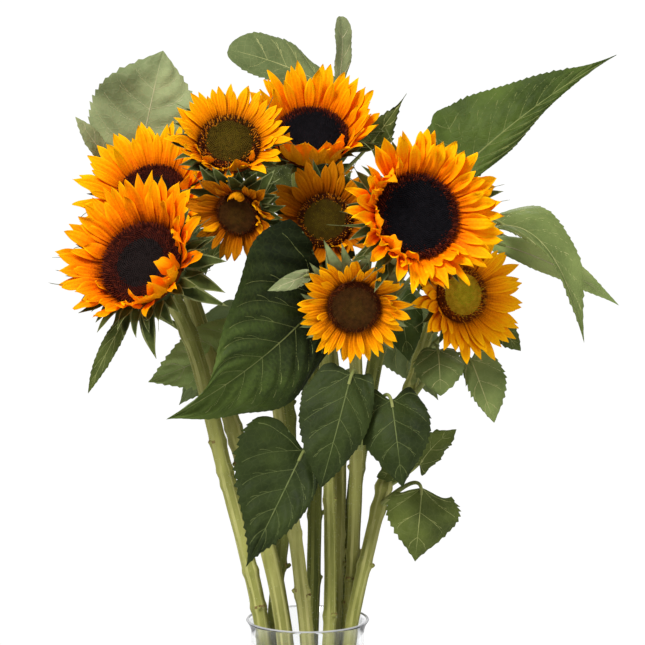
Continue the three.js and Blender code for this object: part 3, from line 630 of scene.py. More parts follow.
def blade(shell, surface, thick, tone_front, tone_back, place=None, layout=None):
    """A closed thin blade round a grid of points on its middle surface."""
    facing = front_of(surface)
    if place is not None:
        surface, facing = placed(surface, place), facing @ place[:3, :3].T
    rows, columns = surface.shape[:2]
    inner = np.zeros((rows, columns), bool)
    inner[1:-1, 1:-1] = True
    offset = facing * (0.5 * thick * inner)[..., None]
    front = np.arange(rows * columns).reshape(rows, columns)
    back = front.copy()
    back[inner] = rows * columns + np.arange(inner.sum())
    points = np.concatenate([(surface + offset).reshape(-1, 3), (surface - offset)[inner]])
    if layout is not None:
        layout = np.concatenate([layout.reshape(-1, 2), layout[inner]])
    faces = np.concatenate([strip(front, False)[:, ::-1], strip(back, False)])
    half = (rows - 1) * (columns - 1)
    tones = np.concatenate([np.broadcast_to(tone_front, half), np.broadcast_to(tone_back, half)])
    shell.add(points, faces, tones, layout)


def front_of(surface):
    """The normals of a grid of points, on the side where its rows and then its columns turn anticlockwise."""
    return unit(np.cross(np.gradient(surface, axis=0), np.gradient(surface, axis=1)))


def through(points, count):
    """A centripetal Catmull-Rom curve through the points, as evenly spaced points."""
    points = np.asarray(points, float)
    ends = [2 * points[0] - points[1], *points, 2 * points[-1] - points[-2]]
    w = np.linspace(0, 1, 160)[:, None]
    fine = [points[:1]]
    for k in range(len(points) - 1):
        p0, p1, p2, p3 = ends[k : k + 4]
        d0, d1, d2 = (((b - a) ** 2).sum() ** 0.25 for a, b in ((p0, p1), (p1, p2), (p2, p3)))
        m1 = ((p1 - p0) / d0 - (p2 - p0) / (d0 + d1) + (p2 - p1) / d1) * d1
        m2 = ((p2 - p1) / d1 - (p3 - p1) / (d1 + d2) + (p3 - p2) / d2) * d1
        bend = (3 * (p2 - p1) - 2 * m1 - m2) * w**2 + (2 * (p1 - p2) + m1 + m2) * w**3
        fine.append((p1 + m1 * w + bend)[1:])
    return evenly(np.concatenate(fine), count)


def evenly(path, count):
    """The same path, with its points evenly spaced."""
    length = np.concatenate([[0], np.cumsum(np.linalg.norm(np.diff(path, axis=0), axis=1))])
    wanted = np.linspace(0, length[-1], count)
    return np.stack([np.interp(wanted, length, path[:, i]) for i in range(3)], 1)


def arch(a, b, c, s):
    """Points of the quadratic curve from a to c that b pulls."""
    s = np.asarray(s, float)[..., None]
    return (1 - s) ** 2 * a + 2 * s * (1 - s) * b + s**2 * c


def placed(points, place):
    return points @ place[:3, :3].T + place[:3, 3]


# ---------------------------------------------------------------- vase


def make_vase():
    """A thin-walled clear vase with a flared, rounded lip and a thick floor."""
    height, rim, neck, foot, floor = (VASE[key] for key in ("height", "rim", "neck", "foot", "floor"))
    bend, base = height - VASE["lip"], VASE["base"]
    steps = np.linspace(0, 1, 9)
    flare = neck + (rim - neck) * steps ** VASE["flare"]
    under = [(0, FOOT_RING[0][1]), *((foot - inward, up) for inward, up in FOOT_RING)]
    wall = [(foot + (neck - foot) * s, base + (bend - base) * s) for s in steps[:-1]]
    wall += [(r, bend + (VASE["lip"] - VASE["round"]) * s) for r, s in zip(flare, steps)]
    lip = [(rim - inward, height - down) for inward, down in LIP_ROUND]
    highest = floor + max(up for _, up in FLOOR_CORNER) + 2
    inside = [(r - VASE["wall"], h) for r, h in wall[::-1] if h > highest]
    bowl = [(foot - VASE["wall"] - inward, floor + up) for inward, up in FLOOR_CORNER]
    shell = Shell()
    turned(shell, under + wall + lip + inside + bowl + [(0, floor)], 128, 0)
    points = np.concatenate(shell.points)
    # The top band of the lip takes the painted highlight.
    band = (height - LIP_HIGHLIGHT_BAND) * MM
    shell.tones = [int(points[face, 2].min() > band) for face in shell.faces]
    return keep(shell.piece("vase_glass_body", [GLASS, GLASS_LIP_PAINTED_HIGHLIGHT]), "vase")


# ---------------------------------------------------------------- stalks and calyxes


def head_frame(flower):
    """A flower's own frame: X to the side, Y upward and Z the way it faces, from the centre of its seat."""
    yaw, pitch = rad(flower["yaw"]), rad(flower["pitch"])
    facing = np.array([math.sin(yaw) * math.cos(pitch), -math.cos(yaw) * math.cos(pitch), math.sin(pitch)])
    side = unit(np.cross(UP, facing))
    made = np.eye(4)
    made[:3, 0], made[:3, 1], made[:3, 2], made[:3, 3] = side, np.cross(facing, side), facing, flower["head"]
    return made


def calyx_depth(flower):
    """How far behind the seat the calyx's bowl ends."""
    return 0.45 * flower["disc"] + 4


def stalk_axis(flower, count):
    """The stalk's axis: straight inside the vase, then a curve to the middle of the calyx."""
    place, depth = head_frame(flower), calyx_depth(flower)
    foot = np.array([*flower["foot"], VASE["floor"] + GAP])
    mouth = np.array([*flower["mouth"], VASE["height"]])
    behind = [placed(np.array([0, 0, -d]), place) for d in (depth + TO_NECK, 0.5 * depth)]
    return through([foot, (foot + mouth) / 2, mouth, *flower["via"], *behind], count)


def ramp_up(s, start, end):
    """A smooth rise from 0 at start to 1 at end."""
    x = np.clip((s - start) / (end - start), 0, 1)
    return x * x * (3 - 2 * x)


def stalk_radius(flower, number, height, knots):
    """The stalk's radius at each row: a slow taper, a swelling at each knot, and a thicker neck."""
    s = np.linspace(0, 1, len(height))
    radius = flower["radii"][0] + (flower["radii"][1] - flower["radii"][0]) * s
    radius = radius * (0.96 + 0.04 * np.sin(9 * s + number))
    for at, swell, reach in knots:
        radius = radius + swell * np.exp(-(((height - at) / reach) ** 2))
    return radius * (1 + NECK_SWELL * ramp_up(s, NECK_FROM, 1.0))


def stalk_ribs(random):
    """How far the stalk's ribs and knobs stand out at each row and side, as shares of its radius."""
    s, angle = np.linspace(0, 1, STALK_ROWS), 2 * np.pi * np.arange(STALK_SIDES) / STALK_SIDES
    phase = random.uniform(0, RIB_PHASES, 4)
    ribs = 0.05 * np.cos(6 * angle + 2 * s[:, None] + phase[0]) + 0.025 * np.cos(13 * angle + phase[1])
    knobs = 0.03 * np.sin(2 * angle + 31 * s[:, None] + phase[2]) * np.cos(47 * s[:, None] + angle)
    return ribs, knobs


def add_scar(shell, start, out, ahead, random):
    """The short stub that a leaf left, brown at its end."""
    reach = random.uniform(*STUB["reach"])
    path = [start, start + out * 0.6 * reach + ahead * 0.9, start + out * reach + ahead * 2.6]
    radii = np.linspace(STUB["root"], STUB["end"], 6)
    tube(shell, evenly(np.array(path), 6), radii, 10, 0, side=ahead, end_tone=2)


def add_calyx_bowl(shell, flower):
    """The green bowl that the head sits in."""
    depth, rim, neck = calyx_depth(flower), flower["disc"] + SEAT, BOWL_NECK * flower["radii"][1]
    turns = rad(90) * np.linspace(0, 1, 9)[1:]
    profile = [(0, -depth - 2), (neck, -depth - 1)]
    profile += [(neck + (rim - neck) * math.sin(t), -depth + 0.8 * depth * (1 - math.cos(t))) for t in turns]
    profile += [(rim - 0.6, -1.4), (rim - 1.6, -GAP), (0, -GAP)]
    turned(shell, profile, BOWL_SIDES, 3, head_frame(flower))


def make_stalk(flower, number, leaf_heights, random):
    """The ribbed stalk, swollen where leaves leave it, with its scars and the bowl of its calyx."""
    axis = stalk_axis(flower, STALK_ROWS)
    height = axis[:, 2]
    scar_heights = random.uniform(*SCAR_HEIGHTS, SCARS)
    knots = [(h, *LEAF_KNOT) for h in leaf_heights] + [(h, *SCAR_KNOT) for h in scar_heights]
    radius = stalk_radius(flower, number, height, knots)
    ribs, knobs = stalk_ribs(random)
    tone = np.where(ribs[:-1] > RIDGE_FROM, 1, 0)
    angle = 2 * np.pi * np.arange(STALK_SIDES) / STALK_SIDES
    scars = []
    for at in scar_heights:
        row = int(np.argmin(abs(height - at)))
        turn = random.uniform(0, 2 * np.pi)
        away = np.abs((angle - turn + np.pi) % (2 * np.pi) - np.pi)
        tone[row, away < random.uniform(*SCAR_SPREAD)] = 2
        scars.append((row, turn))
    shell = Shell()
    rings = radius[:, None] * (STALK_SKIN + ribs + knobs)
    tube(shell, axis, rings, STALK_SIDES, tone.ravel(), end_tone=0)
    cut = (VASE["floor"] + GAP) * MM
    shell.points[0][:STALK_SIDES, 2] = cut
    shell.points[1][:, 2] = cut
    along = np.gradient(axis, axis=0)
    (across, other), ahead = cross_axes(along, (1, 0, 0)), unit(along)
    for row, turn in scars:
        out = across[row] * math.cos(turn) + other[row] * math.sin(turn)
        add_scar(shell, axis[row] + out * (radius[row] - STUB["sunk"]), out, ahead[row], random)
    add_calyx_bowl(shell, flower)
    stem = shell.piece(f"stalk_{number}_stem", [*STALKS[flower.get("stem", "straw")], STALK_SCAR, CALYX])
    return keep(stem, f"stalk_{number}")


def cup_at(flower, angle):
    """How far forward the petals stand at an angle round the head, in degrees."""
    return flower["cup"] + flower["lean"] * math.cos(angle - rad(flower["toward"]))


def ray(angle, start, height, length, slopes, half, rise, sway=0.0, twist=0.0):
    """The middle surface of a petal or bract in the head's frame.

    slopes: its slope at each row, in radians. half: its half width at each row.
    rise: how far each point stands off that surface. sway, twist: its sideways bend and its turn.
    """
    rows, columns = rise.shape
    s, t = np.linspace(0, 1, rows), np.linspace(-1, 1, columns)
    step = length / (rows - 1)
    middle = middles(slopes)
    out = start + np.concatenate([[0], np.cumsum(np.cos(middle) * step)])
    up = height + np.concatenate([[0], np.cumsum(np.sin(middle) * step)])
    across = half[:, None] * t * np.cos(twist * s)[:, None] + (sway * length * s**2)[:, None]
    lift = rise + half[:, None] * t * np.sin(twist * s)[:, None]
    r = out[:, None] - lift * np.sin(slopes)[:, None]
    z = up[:, None] + lift * np.cos(slopes)[:, None]
    c, d = math.cos(angle), math.sin(angle)
    return np.stack([r * c - across * d, r * d + across * c, z], -1)


def add_bract(shell, place, angle, seat, length, width, slope, random, drawn_out):
    """One bract: broad at its foot, keeled, wavy, pale along its edges, and drawn out to a curling tip."""
    rows, columns = BRACT_GRID
    s, t = np.linspace(0, 1, rows), np.linspace(-1, 1, columns)
    end = BRACT_ENDS[int(drawn_out)]
    body = 1 - np.clip((s - BRACT_WIDEST) / (end - BRACT_WIDEST), 0, 1) ** 1.5
    swelling = 0.78 + 0.22 * np.sin(0.5 * np.pi * np.clip(s / 0.25, 0, 1))
    thread = 0.42 * (1 - 0.7 * s)
    half = 0.5 * width * body * swelling + thread
    curl = rad(random.uniform(-70, 70) if drawn_out else random.uniform(-45, 35))
    slopes = rad(slope) + curl * s**2.2
    wave = np.sin(2 * np.pi * (1.6 * s + random.uniform()))[:, None] * t * np.abs(t)
    keel = 1.3 * np.abs(t) + 0.5 * t**4
    rise = 0.16 * half[:, None] * keel + 0.16 * half[:, None] * wave
    surface = ray(angle, *seat, length, slopes, half, rise,
                  sway=swing(random, 0.16), twist=swing(random, 0.6))
    pale = (np.abs(middles(t))[None] > 0.8) | (middles(s)[:, None] > end - 0.06)
    tones = pale.astype(int).ravel()
    blade(shell, surface, BRACT_THICK, tones, tones, place)


def angle_of(i, count, random):
    """The angle of one of the bracts or petals round a head, a little off its even place."""
    return 2 * math.pi * (i + swing(random, STAGGER)) / count


def make_bracts(flower, number, random):
    """Three whorls of green bracts, and the leafy and thin ones under them."""
    shell = Shell()
    place, rim = head_frame(flower), flower["disc"] + SEAT
    count = 3 * round(2 * math.pi * rim / BRACT_STEP)
    for i in range(count):
        whorl = BRACT_WHORLS[i % 3]
        angle = angle_of(i, count, random)
        slope = cup_at(flower, angle) - whorl["below"] + swing(random, 8)
        drawn_out = random.uniform() < DRAWN_OUT
        length = flower["bract"] * whorl["length"] * random.uniform(0.9, 1.12)
        length *= THREAD_LENGTH if drawn_out else 1
        width = whorl["width"] * random.uniform(0.85, 1.15)
        seat = (rim - whorl["seat"][0], -whorl["seat"][1])
        add_bract(shell, place, angle, seat, length, width, slope, random, drawn_out)
    for degrees, length, width, slope in flower.get("leafy", ()):
        seat = (rim - LEAFY_SEAT[0], -LEAFY_SEAT[1])
        add_bract(shell, place, rad(degrees), seat, length, width, slope, random, False)
    for degrees in flower.get("wisps", ()):
        width, slope = random.uniform(3, 5), random.uniform(0, 25)
        length = flower["bract"] * flower.get("wisp", WISP) * random.uniform(0.9, 1.1)
        seat = (rim - WISP_SEAT[0], -WISP_SEAT[1])
        add_bract(shell, place, rad(degrees), seat, length, width, slope, random, True)
    # Pale bracts are partly painted light.
    green = BRACT_PALE if flower.get("pale_bracts") else BRACT
    return keep(shell.piece(f"stalk_{number}_bracts", [green, BRACT_EDGE]), f"stalk_{number}")


# ---------------------------------------------------------------- petals


def petal_surface(flower, whorl, angle, wild, s, t, random):
    """The middle surface of one petal in the head's frame."""
    manner, loose = (WILD, 1) if wild else (IN_LINE, flower["ruffle"])
    slope = cup_at(flower, angle) + whorl["rise"] + swing(random, 7 * flower["ruffle"])
    slope += random.uniform(10, 34) if wild else 0
    length = flower["petal"] * whorl["length"] * random.uniform(0.93, 1.06)
    length *= random.uniform(0.5, 0.85) if wild else 1
    clip_side, clipped = flower.get("clip", (0, 0))
    length *= 1 - clipped * max(math.cos(angle - rad(clip_side)), 0) ** 2
    curl = loose * random.uniform(*manner["curl"])
    bend = rad(flower["bend"] + swing(random, 8))
    slopes = rad(min(slope, STEEPEST)) + bend * s + rad(curl) * s**3
    growing = 0.5 + 0.5 * np.sin(0.5 * np.pi * np.clip(s / 0.52, 0, 1))
    closing = 1 - np.clip((s - 0.48) / 0.52, 0, 1) ** 2.5
    half = 0.5 * flower["broad"] * whorl["width"] * random.uniform(0.86, 1.14) * growing * closing
    half = np.maximum(half * (SPREAD if wild or slope > CROWDED else 1), PETAL_TIP)
    channel = loose * random.uniform(*manner["channel"])
    grooves = 0.34 * np.cos(2.8 * np.pi * t)[None] * np.sin(np.pi * s**0.7)[:, None]
    edge_wave = np.sin(2 * np.pi * (random.uniform(1.0, 2.2) * s + random.uniform()))
    ruffles = manner["ruffle"] * loose * flower["broad"]
    rise = channel * half[:, None] * t**2 + grooves + ruffles * np.outer(edge_wave * s, t * np.abs(t))
    twist = swing(random, manner["twist"] * loose)
    return ray(angle, flower["disc"] + PETAL_START, whorl["seat"], length, slopes, half, rise,
               sway=swing(random, 0.1), twist=twist)


def petal_tones(flower, s, t, random):
    """A petal's step of its row at each face: deeper toward its root, partly its own colour and partly
    painted shade, lighter toward its edge, a painted highlight, and darker in its two grooves, painted shade.
    """
    s_face, t_face = middles(s)[:, None], middles(t)[None]
    groove_shade = GROOVE_SHADE * np.exp(-(((np.abs(t_face) - GROOVE_AT) / GROOVE_WIDE) ** 2))
    streak = 0.035 * random.uniform(-1, 1, (1, len(t) - 1)) + swing(random, 0.07)
    depth = 0.06 + 0.98 * s_face**0.7 + 0.12 * t_face**2 - groove_shade + streak + flower["tint"]
    return np.clip(depth * PETAL_STEPS * 0.9, 0, PETAL_STEPS - 1).astype(int).ravel()


def make_petals(flower, number, random):
    """The ring of petals in four overlapping whorls, with their grooves, curls and streaks."""
    shell = Shell()
    place = head_frame(flower)
    rows, columns = PETAL_GRID
    s, t = np.linspace(0, 1, rows), np.linspace(-1, 1, columns)
    count = flower["petals"]
    most_folds = rad(flower.get("folds", flower["toward"]))
    # A head in painted shade keeps the gold row, the lit copy of its tones, for its wild petals, which stand
    # out into the light.
    finishes = PETALS[flower["row"]] + (PETALS["gold"] if flower["row"] == "painted_shade" else [])
    for i in range(count):
        angle = angle_of(i, count, random)
        wild = random.uniform() < flower["wild"] * (1 + math.cos(angle - most_folds)) ** 1.5
        surface = petal_surface(flower, PETAL_WHORLS[i % 4], angle, wild, s, t, random)
        first = (PETAL_STEPS + 1) * int(wild and flower["row"] == "painted_shade")
        tones = first + petal_tones(flower, s, t, random)
        own_stretch_of_pattern = np.broadcast_arrays(t * 0.5 + 2 * i, s[:, None] * 2)
        blade(shell, surface, PETAL_THICK, tones, first + PETAL_STEPS, place,
              np.stack(own_stretch_of_pattern, -1))
    return keep(shell.piece(f"petals_{number}_rays", finishes), f"petals_{number}")


# ---------------------------------------------------------------- geometry trees


class Tree:
    """A geometry tree with named inputs."""

    def __init__(self, name, **inputs):
        self.tree = bpy.data.node_groups.new(name, "GeometryNodeTree")
        face = self.tree.interface
        face.new_socket("Geometry", in_out="INPUT", socket_type="NodeSocketGeometry")
        self.ids = {}
        for key, kind in inputs.items():
            socket = face.new_socket(key.replace("_", " "), in_out="INPUT", socket_type=f"NodeSocket{kind}")
            self.ids[key] = socket.identifier
        face.new_socket("Geometry", in_out="OUTPUT", socket_type="NodeSocketGeometry")
        self.given = self.tree.nodes.new("NodeGroupInput").outputs

    def get(self, key):
        return self.given[key.replace("_", " ")]

    def add(self, kind, settings=None, **inputs):
        return node_of(self.tree, kind, settings, **inputs)

    def maths(self, operation, a, b=0.0, c=0.0):
        """A maths node's result."""
        return self.add("ShaderNodeMath", dict(operation=operation), i0=a, i1=b, i2=c).outputs[0]

    def between(self, low, high, shift):
        """A random number for each point, from the tree's seed and a shift of it."""
        seed = self.maths("ADD", self.get("Seed"), shift)
        made = self.add("FunctionNodeRandomValue", dict(data_type="FLOAT"), i2=low, i3=high, Seed=seed)
        return made.outputs[1]

    def leaning(self, direction, low, high):
        """The turn that stands a shape along a direction, with a random lean between two vectors."""
        kind = dict(data_type="FLOAT_VECTOR")
        lean = self.add("FunctionNodeRandomValue", kind, i0=low, i1=high, Seed=self.get("Seed")).outputs[0]
        toward = self.add("ShaderNodeVectorMath", dict(operation="ADD"), i0=direction, i1=lean).outputs[0]
        return self.add("FunctionNodeAlignRotationToVector", dict(axis="Z"), Vector=toward).outputs[0]

    def cone(self, sides, top, bottom, depth):
        """A small cone of one step, to be set on points."""
        made = self.add("GeometryNodeMeshCone", dict(fill_type="NGON"), Vertices=sides, Side_Segments=1,
                        Fill_Segments=1, Radius_Top=top, Radius_Bottom=bottom, Depth=depth)
        return made.outputs[0]

    def stood(self, points, shape, turn, scale):
        """The shape set on every point, as plain geometry."""
        made = self.add("GeometryNodeInstanceOnPoints", Points=points, Instance=shape, Rotation=turn,
                        Scale=scale)
        return self.add("GeometryNodeRealizeInstances", Geometry=made.outputs[0]).outputs[0]

    def paint(self, geometry, finish_key, selection=True):
        """Gives the selected faces a finish."""
        material = self.get(finish_key)
        made = self.add("GeometryNodeSetMaterial", Geometry=geometry, Selection=selection, Material=material)
        return made.outputs[0]

    def end(self, geometry):
        out = self.tree.nodes.new("NodeGroupOutput")
        self.tree.links.new(geometry, out.inputs[0])
        return self


def grown(name, tree, values, base=None, place=None):
    """Runs a geometry tree on a mesh and makes its result an object with a plain mesh."""
    carrier = linked(name + "_maker", base or bpy.data.meshes.new(name + "_maker"))
    modifier = carrier.modifiers.new("grow", "NODES")
    modifier.node_group = tree.tree
    for key, value in values.items():
        modifier[tree.ids[key]] = value
    view = bpy.context.evaluated_depsgraph_get()
    mesh = bpy.data.meshes.new_from_object(carrier.evaluated_get(view))
    carrier.modifiers.clear()
    bpy.data.objects.remove(carrier)
    mesh.name = name
    if place is not None:
        metres = place.copy()
        metres[:3, 3] *= MM
        mesh.transform(Matrix(metres.tolist()))
    return linked(name, mesh)


def floret_places(t):
    """Each floret's share of the disc's radius, its x and y, and its place on the dished disc."""
    index = t.add("GeometryNodeInputIndex").outputs[0]
    share = t.maths("SQRT", t.maths("DIVIDE", t.maths("ADD", index, 0.5), t.get("Floret_count")))
    radius = t.maths("MULTIPLY", share, t.get("Disc_radius"))
    turn = t.maths("MULTIPLY", index, math.pi * (3 - math.sqrt(5)))
    x = t.maths("MULTIPLY", radius, t.maths("COSINE", turn))
    y = t.maths("MULTIPLY", radius, t.maths("SINE", turn))
    climb = t.maths("SUBTRACT", t.get("Edge_height"), t.get("Crown_height"))
    dish = t.maths("MULTIPLY_ADD", t.maths("POWER", share, 2.0), climb, t.get("Crown_height"))
    drop = t.maths("MULTIPLY", t.get("Edge_height"), SHOULDER)
    z = t.maths("SUBTRACT", dish, t.maths("MULTIPLY", t.maths("POWER", share, float(STEEP)), drop))
    return share, x, y, t.add("ShaderNodeCombineXYZ", X=x, Y=y, Z=z).outputs[0]


def floret_scale(t, share):
    """Each floret's size: larger outward, uneven, and drawn out in its length beyond the rim's share."""
    uneven = t.maths("MULTIPLY", t.between(0.8, 1.2, 7), t.maths("MULTIPLY_ADD", share, 0.4, 0.7))
    size = t.maths("MULTIPLY", t.get("Floret_size"), uneven)
    past = t.maths("GREATER_THAN", share, t.get("Rim_share"))
    taller = t.maths("MULTIPLY", past, t.between(0.1, 1.3, 13))
    tall = t.maths("MULTIPLY", size, t.maths("MULTIPLY_ADD", taller, t.get("Spike"), 0.8))
    return t.add("ShaderNodeCombineXYZ", X=size, Y=size, Z=tall).outputs[0]


def floret_tree():
    """Florets on a disc in the sunflower's own spiral: each one turns by the golden angle from the last."""
    t = Tree("floret_spiral", Disc_radius="Float", Floret_count="Int", Edge_height="Float",
             Crown_height="Float", Floret_size="Float", Spike="Float", Middle_share="Float",
             Rim_share="Float", Tip_share="Float", Seed="Int", Middle_finish="Material",
             Between_finish="Material", Rim_finish="Material", Tip_finish="Material")
    share, x, y, at = floret_places(t)
    spots = t.add("GeometryNodePoints", Count=t.get("Floret_count"), Position=at).outputs[0]
    lean = t.maths("MULTIPLY_ADD", t.maths("POWER", share, 6.0), FLORET_LEAN, 4.0)
    out_x, out_y = (t.maths("MULTIPLY", side, lean) for side in (x, y))
    outward = t.add("ShaderNodeCombineXYZ", X=out_x, Y=out_y, Z=1.0).outputs[0]
    turn = t.leaning(outward, (-0.25, -0.25, 0.0), (0.25, 0.25, 0.0))
    zone = t.maths("ADD", share, t.between(-ZONE_BLUR, ZONE_BLUR, 21))
    zoned = dict(data_type="FLOAT", domain="POINT")
    marked = t.add("GeometryNodeStoreNamedAttribute", zoned, Geometry=spots, Name="zone", Value=zone)
    real = t.stood(marked.outputs[0], t.cone(*FLORET_CONE), turn, floret_scale(t, share))
    read = t.add("GeometryNodeInputNamedAttribute", dict(data_type="FLOAT"), Name="zone").outputs[0]
    chosen = t.maths("GREATER_THAN", t.maths("FRACT", t.maths("MULTIPLY", read, SCATTER)), UNTIPPED)
    tipped = t.maths("MULTIPLY", chosen, t.maths("GREATER_THAN", read, t.get("Tip_share")))
    last = t.paint(real, "Middle_finish")
    last = t.paint(last, "Between_finish", t.maths("GREATER_THAN", read, t.get("Middle_share")))
    last = t.paint(last, "Rim_finish", t.maths("GREATER_THAN", read, t.get("Rim_share")))
    return t.end(t.paint(last, "Tip_finish", tipped))


def hair_tree():
    """Short tapering hairs that stand off a surface."""
    t = Tree("surface_hairs", Hairs_per_area="Float", Hair_length="Float", Hair_radius="Float", Seed="Int",
             Hair_finish="Material")
    spread = t.add("GeometryNodeDistributePointsOnFaces", dict(distribute_method="RANDOM"),
                   Mesh=t.get("Geometry"), Density=t.get("Hairs_per_area"), Seed=t.get("Seed"))
    turn = t.leaning(spread.outputs["Normal"], (-0.5, -0.5, -0.7), (0.5, 0.5, 0.3))
    hair = t.cone(3, 0.0, t.get("Hair_radius"), t.get("Hair_length"))
    real = t.stood(spread.outputs["Points"], hair, turn, t.between(0.5, 1.3, 5))
    return t.end(t.paint(real, "Hair_finish"))


FLORET_TREE = floret_tree()
HAIR_TREE = hair_tree()


def make_hairs(stem, number):
    """The stalk's short hairs."""
    values = dict(HAIR, Seed=number, Hair_finish=STALK_HAIR)
    return keep(grown(f"stalk_{number}_hairs", HAIR_TREE, values, stem.data), f"stalk_{number}")


# ---------------------------------------------------------------- seed discs


def make_cushion(flower, number):
    """The dished cushion under the florets, and the ring that closes the seat around it."""
    disc, edge, crown = flower["disc"], flower["edge"], flower["crown"]
    names, (middle_share, rim_share, _) = FACES[flower["face"]]
    place, low = head_frame(flower), 0.05
    shares = np.linspace(0.99, 0.0, CUSHION_RINGS)
    heights = crown + (edge - crown) * shares**2 - SHOULDER * edge * shares**STEEP - 0.5
    side = [(0, low), (disc - 0.3, low), (disc, 0.25 * edge)]
    reach = disc + RING["reach"]
    ring = [(0, low), (reach, low), (reach, RING["edge"]), (disc, RING["height"]), (0, RING["height"])]
    shell = Shell()
    turned(shell, [*side, *zip(disc * shares[:-1], heights), (0, heights[-1])], CUSHION_SIDES, 0, place)
    turned(shell, ring, CUSHION_SIDES, 1, place)
    points = np.concatenate(shell.points)
    for i, face in enumerate(shell.faces):
        share = np.linalg.norm(points[face].mean(axis=0) / MM - flower["head"]) / disc
        if shell.tones[i] == 0 and share > rim_share:
            shell.tones[i] = 3
        elif shell.tones[i] == 0 and share < middle_share and disc > LARGE_DISC:
            shell.tones[i] = 2
    finishes = [FLORETS[name] for name in (names[1], "russet", names[0], names[2])]
    return keep(shell.piece(f"seed_disc_{number}_cushion", finishes), f"seed_disc_{number}")


def make_florets(flower, number):
    """The hundreds of florets that stand on the cushion, in their spiral."""
    disc = flower["disc"]
    names, (middle_share, rim_share, tip_share) = FACES[flower["face"]]
    count = FLORET_COUNTS[int(disc > LARGE_DISC)]
    places = ("Middle_finish", "Between_finish", "Rim_finish", "Tip_finish")
    values = dict(Disc_radius=(disc - 0.6) * MM, Floret_count=count, Edge_height=flower["edge"] * MM,
                  Crown_height=flower["crown"] * MM, Floret_size=disc / math.sqrt(count) * MM, Spike=SPIKE,
                  Middle_share=middle_share, Rim_share=rim_share, Tip_share=tip_share, Seed=number,
                  **{place: FLORETS[name] for place, name in zip(places, names)})
    made = grown(f"seed_disc_{number}_florets", FLORET_TREE, values, place=head_frame(flower))
    return keep(made, f"seed_disc_{number}")


def make_disc(flower, number):
    """The seed disc: its cushion and its florets."""
    make_cushion(flower, number)
    make_florets(flower, number)


# ---------------------------------------------------------------- leaves


class Leaf:
    """A heart-shaped leaf as a surface over s, from its base to its tip, and t, from margin to margin."""

    def __init__(self, entry, random):
        self.entry = entry
        self.base, self.tip = np.array(entry["base"], float), np.array(entry["tip"], float)
        self.length = np.linalg.norm(self.tip - self.base)
        front, beside = cross_axes(self.tip - self.base, (0, -1, 0))
        roll = rad(entry["roll"])
        self.facing = front * math.cos(roll) + beside * math.sin(roll)
        crook = entry.get("crook", 0.5)
        self.middle = self.base + (self.tip - self.base) * crook + self.facing * 2 * entry["sag"]
        self.veins = max(3, round(self.length / VEIN_STEP))
        self.phase = random.uniform(0, 2 * np.pi, 4)

    def half_width(self, s, t):
        """How far the margin on the side of t lies from the midrib."""
        point = self.entry["point"]
        widest = (1 - point * LOBE) / (1 + point)
        half = 0.5 * self.entry["width"] * self.outline(s) / self.outline(widest)
        return half * (1 - t * (self.entry.get("skew", 0) + self.entry.get("slant", 0) * (0.4 - s)))

    def outline(self, s):
        """How wide the blade is at s, on a scale of its own."""
        return (s + LOBE) * np.maximum(1 - s, 0) ** self.entry["point"]

    def vein(self, start, a):
        """Where a side vein that leaves the midrib at start has got to, a of the way to the margin."""
        return start * (1 - VEIN_RISE * VEIN_CLOSE * a) + VEIN_RISE * a + VEIN_CURVE * a**2

    def lift(self, s, t):
        """How far the blade's surface stands off its fold: puckers between the veins, folds and ripples."""
        a, width = np.abs(t), self.entry["width"]
        start = (s - VEIN_RISE * a - VEIN_CURVE * a**2) / (1 - VEIN_RISE * VEIN_CLOSE * a)
        inland = np.minimum(a * 3, 1) * np.minimum((1 - a) * 3, 1) * np.minimum((1 - s) * 4, 1)
        pucker = PUCKER * width * (0.5 - 0.5 * np.cos(2 * np.pi * start * self.veins)) * inland
        swell = np.sin(2 * np.pi * (1.1 * s + 0.35 * t) + self.phase[1])
        swell = swell + 0.7 * np.sin(2 * np.pi * (0.8 * s - 0.6 * t) + self.phase[2])
        before_tip = np.minimum((1 - s) * 3, 1)
        swell = SWELL * width * swell * before_tip * np.minimum(a * 2, 1)
        ripple = np.sin(2 * np.pi * 2.3 * s + self.phase[0] + 2.2 * np.sign(t)) * before_tip
        ripple = RIPPLE * width * self.entry.get("wave", 1.0) * a**3 * ripple
        droop = -DROOP * width * a**2.5 * np.sin(np.pi * np.clip(s + 0.25, 0, 1))
        return pucker + swell + ripple + droop

    def at(self, s, t):
        """Points of the blade, for arrays s and t of one shape."""
        s, t = np.broadcast_arrays(np.asarray(s, float), np.asarray(t, float))
        spine = arch(self.base, self.middle, self.tip, s)
        toward = (1 - s)[..., None] * (self.middle - self.base) + s[..., None] * (self.tip - self.middle)
        tangent = unit(toward)
        up, across = cross_axes(tangent, self.facing)
        half, fold = self.half_width(s, t), rad(self.entry["fold"])
        beside = (t * half * math.cos(fold))[..., None]
        lift = (np.abs(t) * half * math.sin(fold) + self.lift(s, t))[..., None]
        rounded = 0.14 * t**4 + 0.6 * np.abs(t) ** 1.5 * (1 - np.abs(t) ** 3)
        back = (self.entry.get("lobe", 1) * self.entry["width"] * (1 - s) ** 4 * rounded)[..., None]
        return spine - across * beside + up * lift - tangent * back


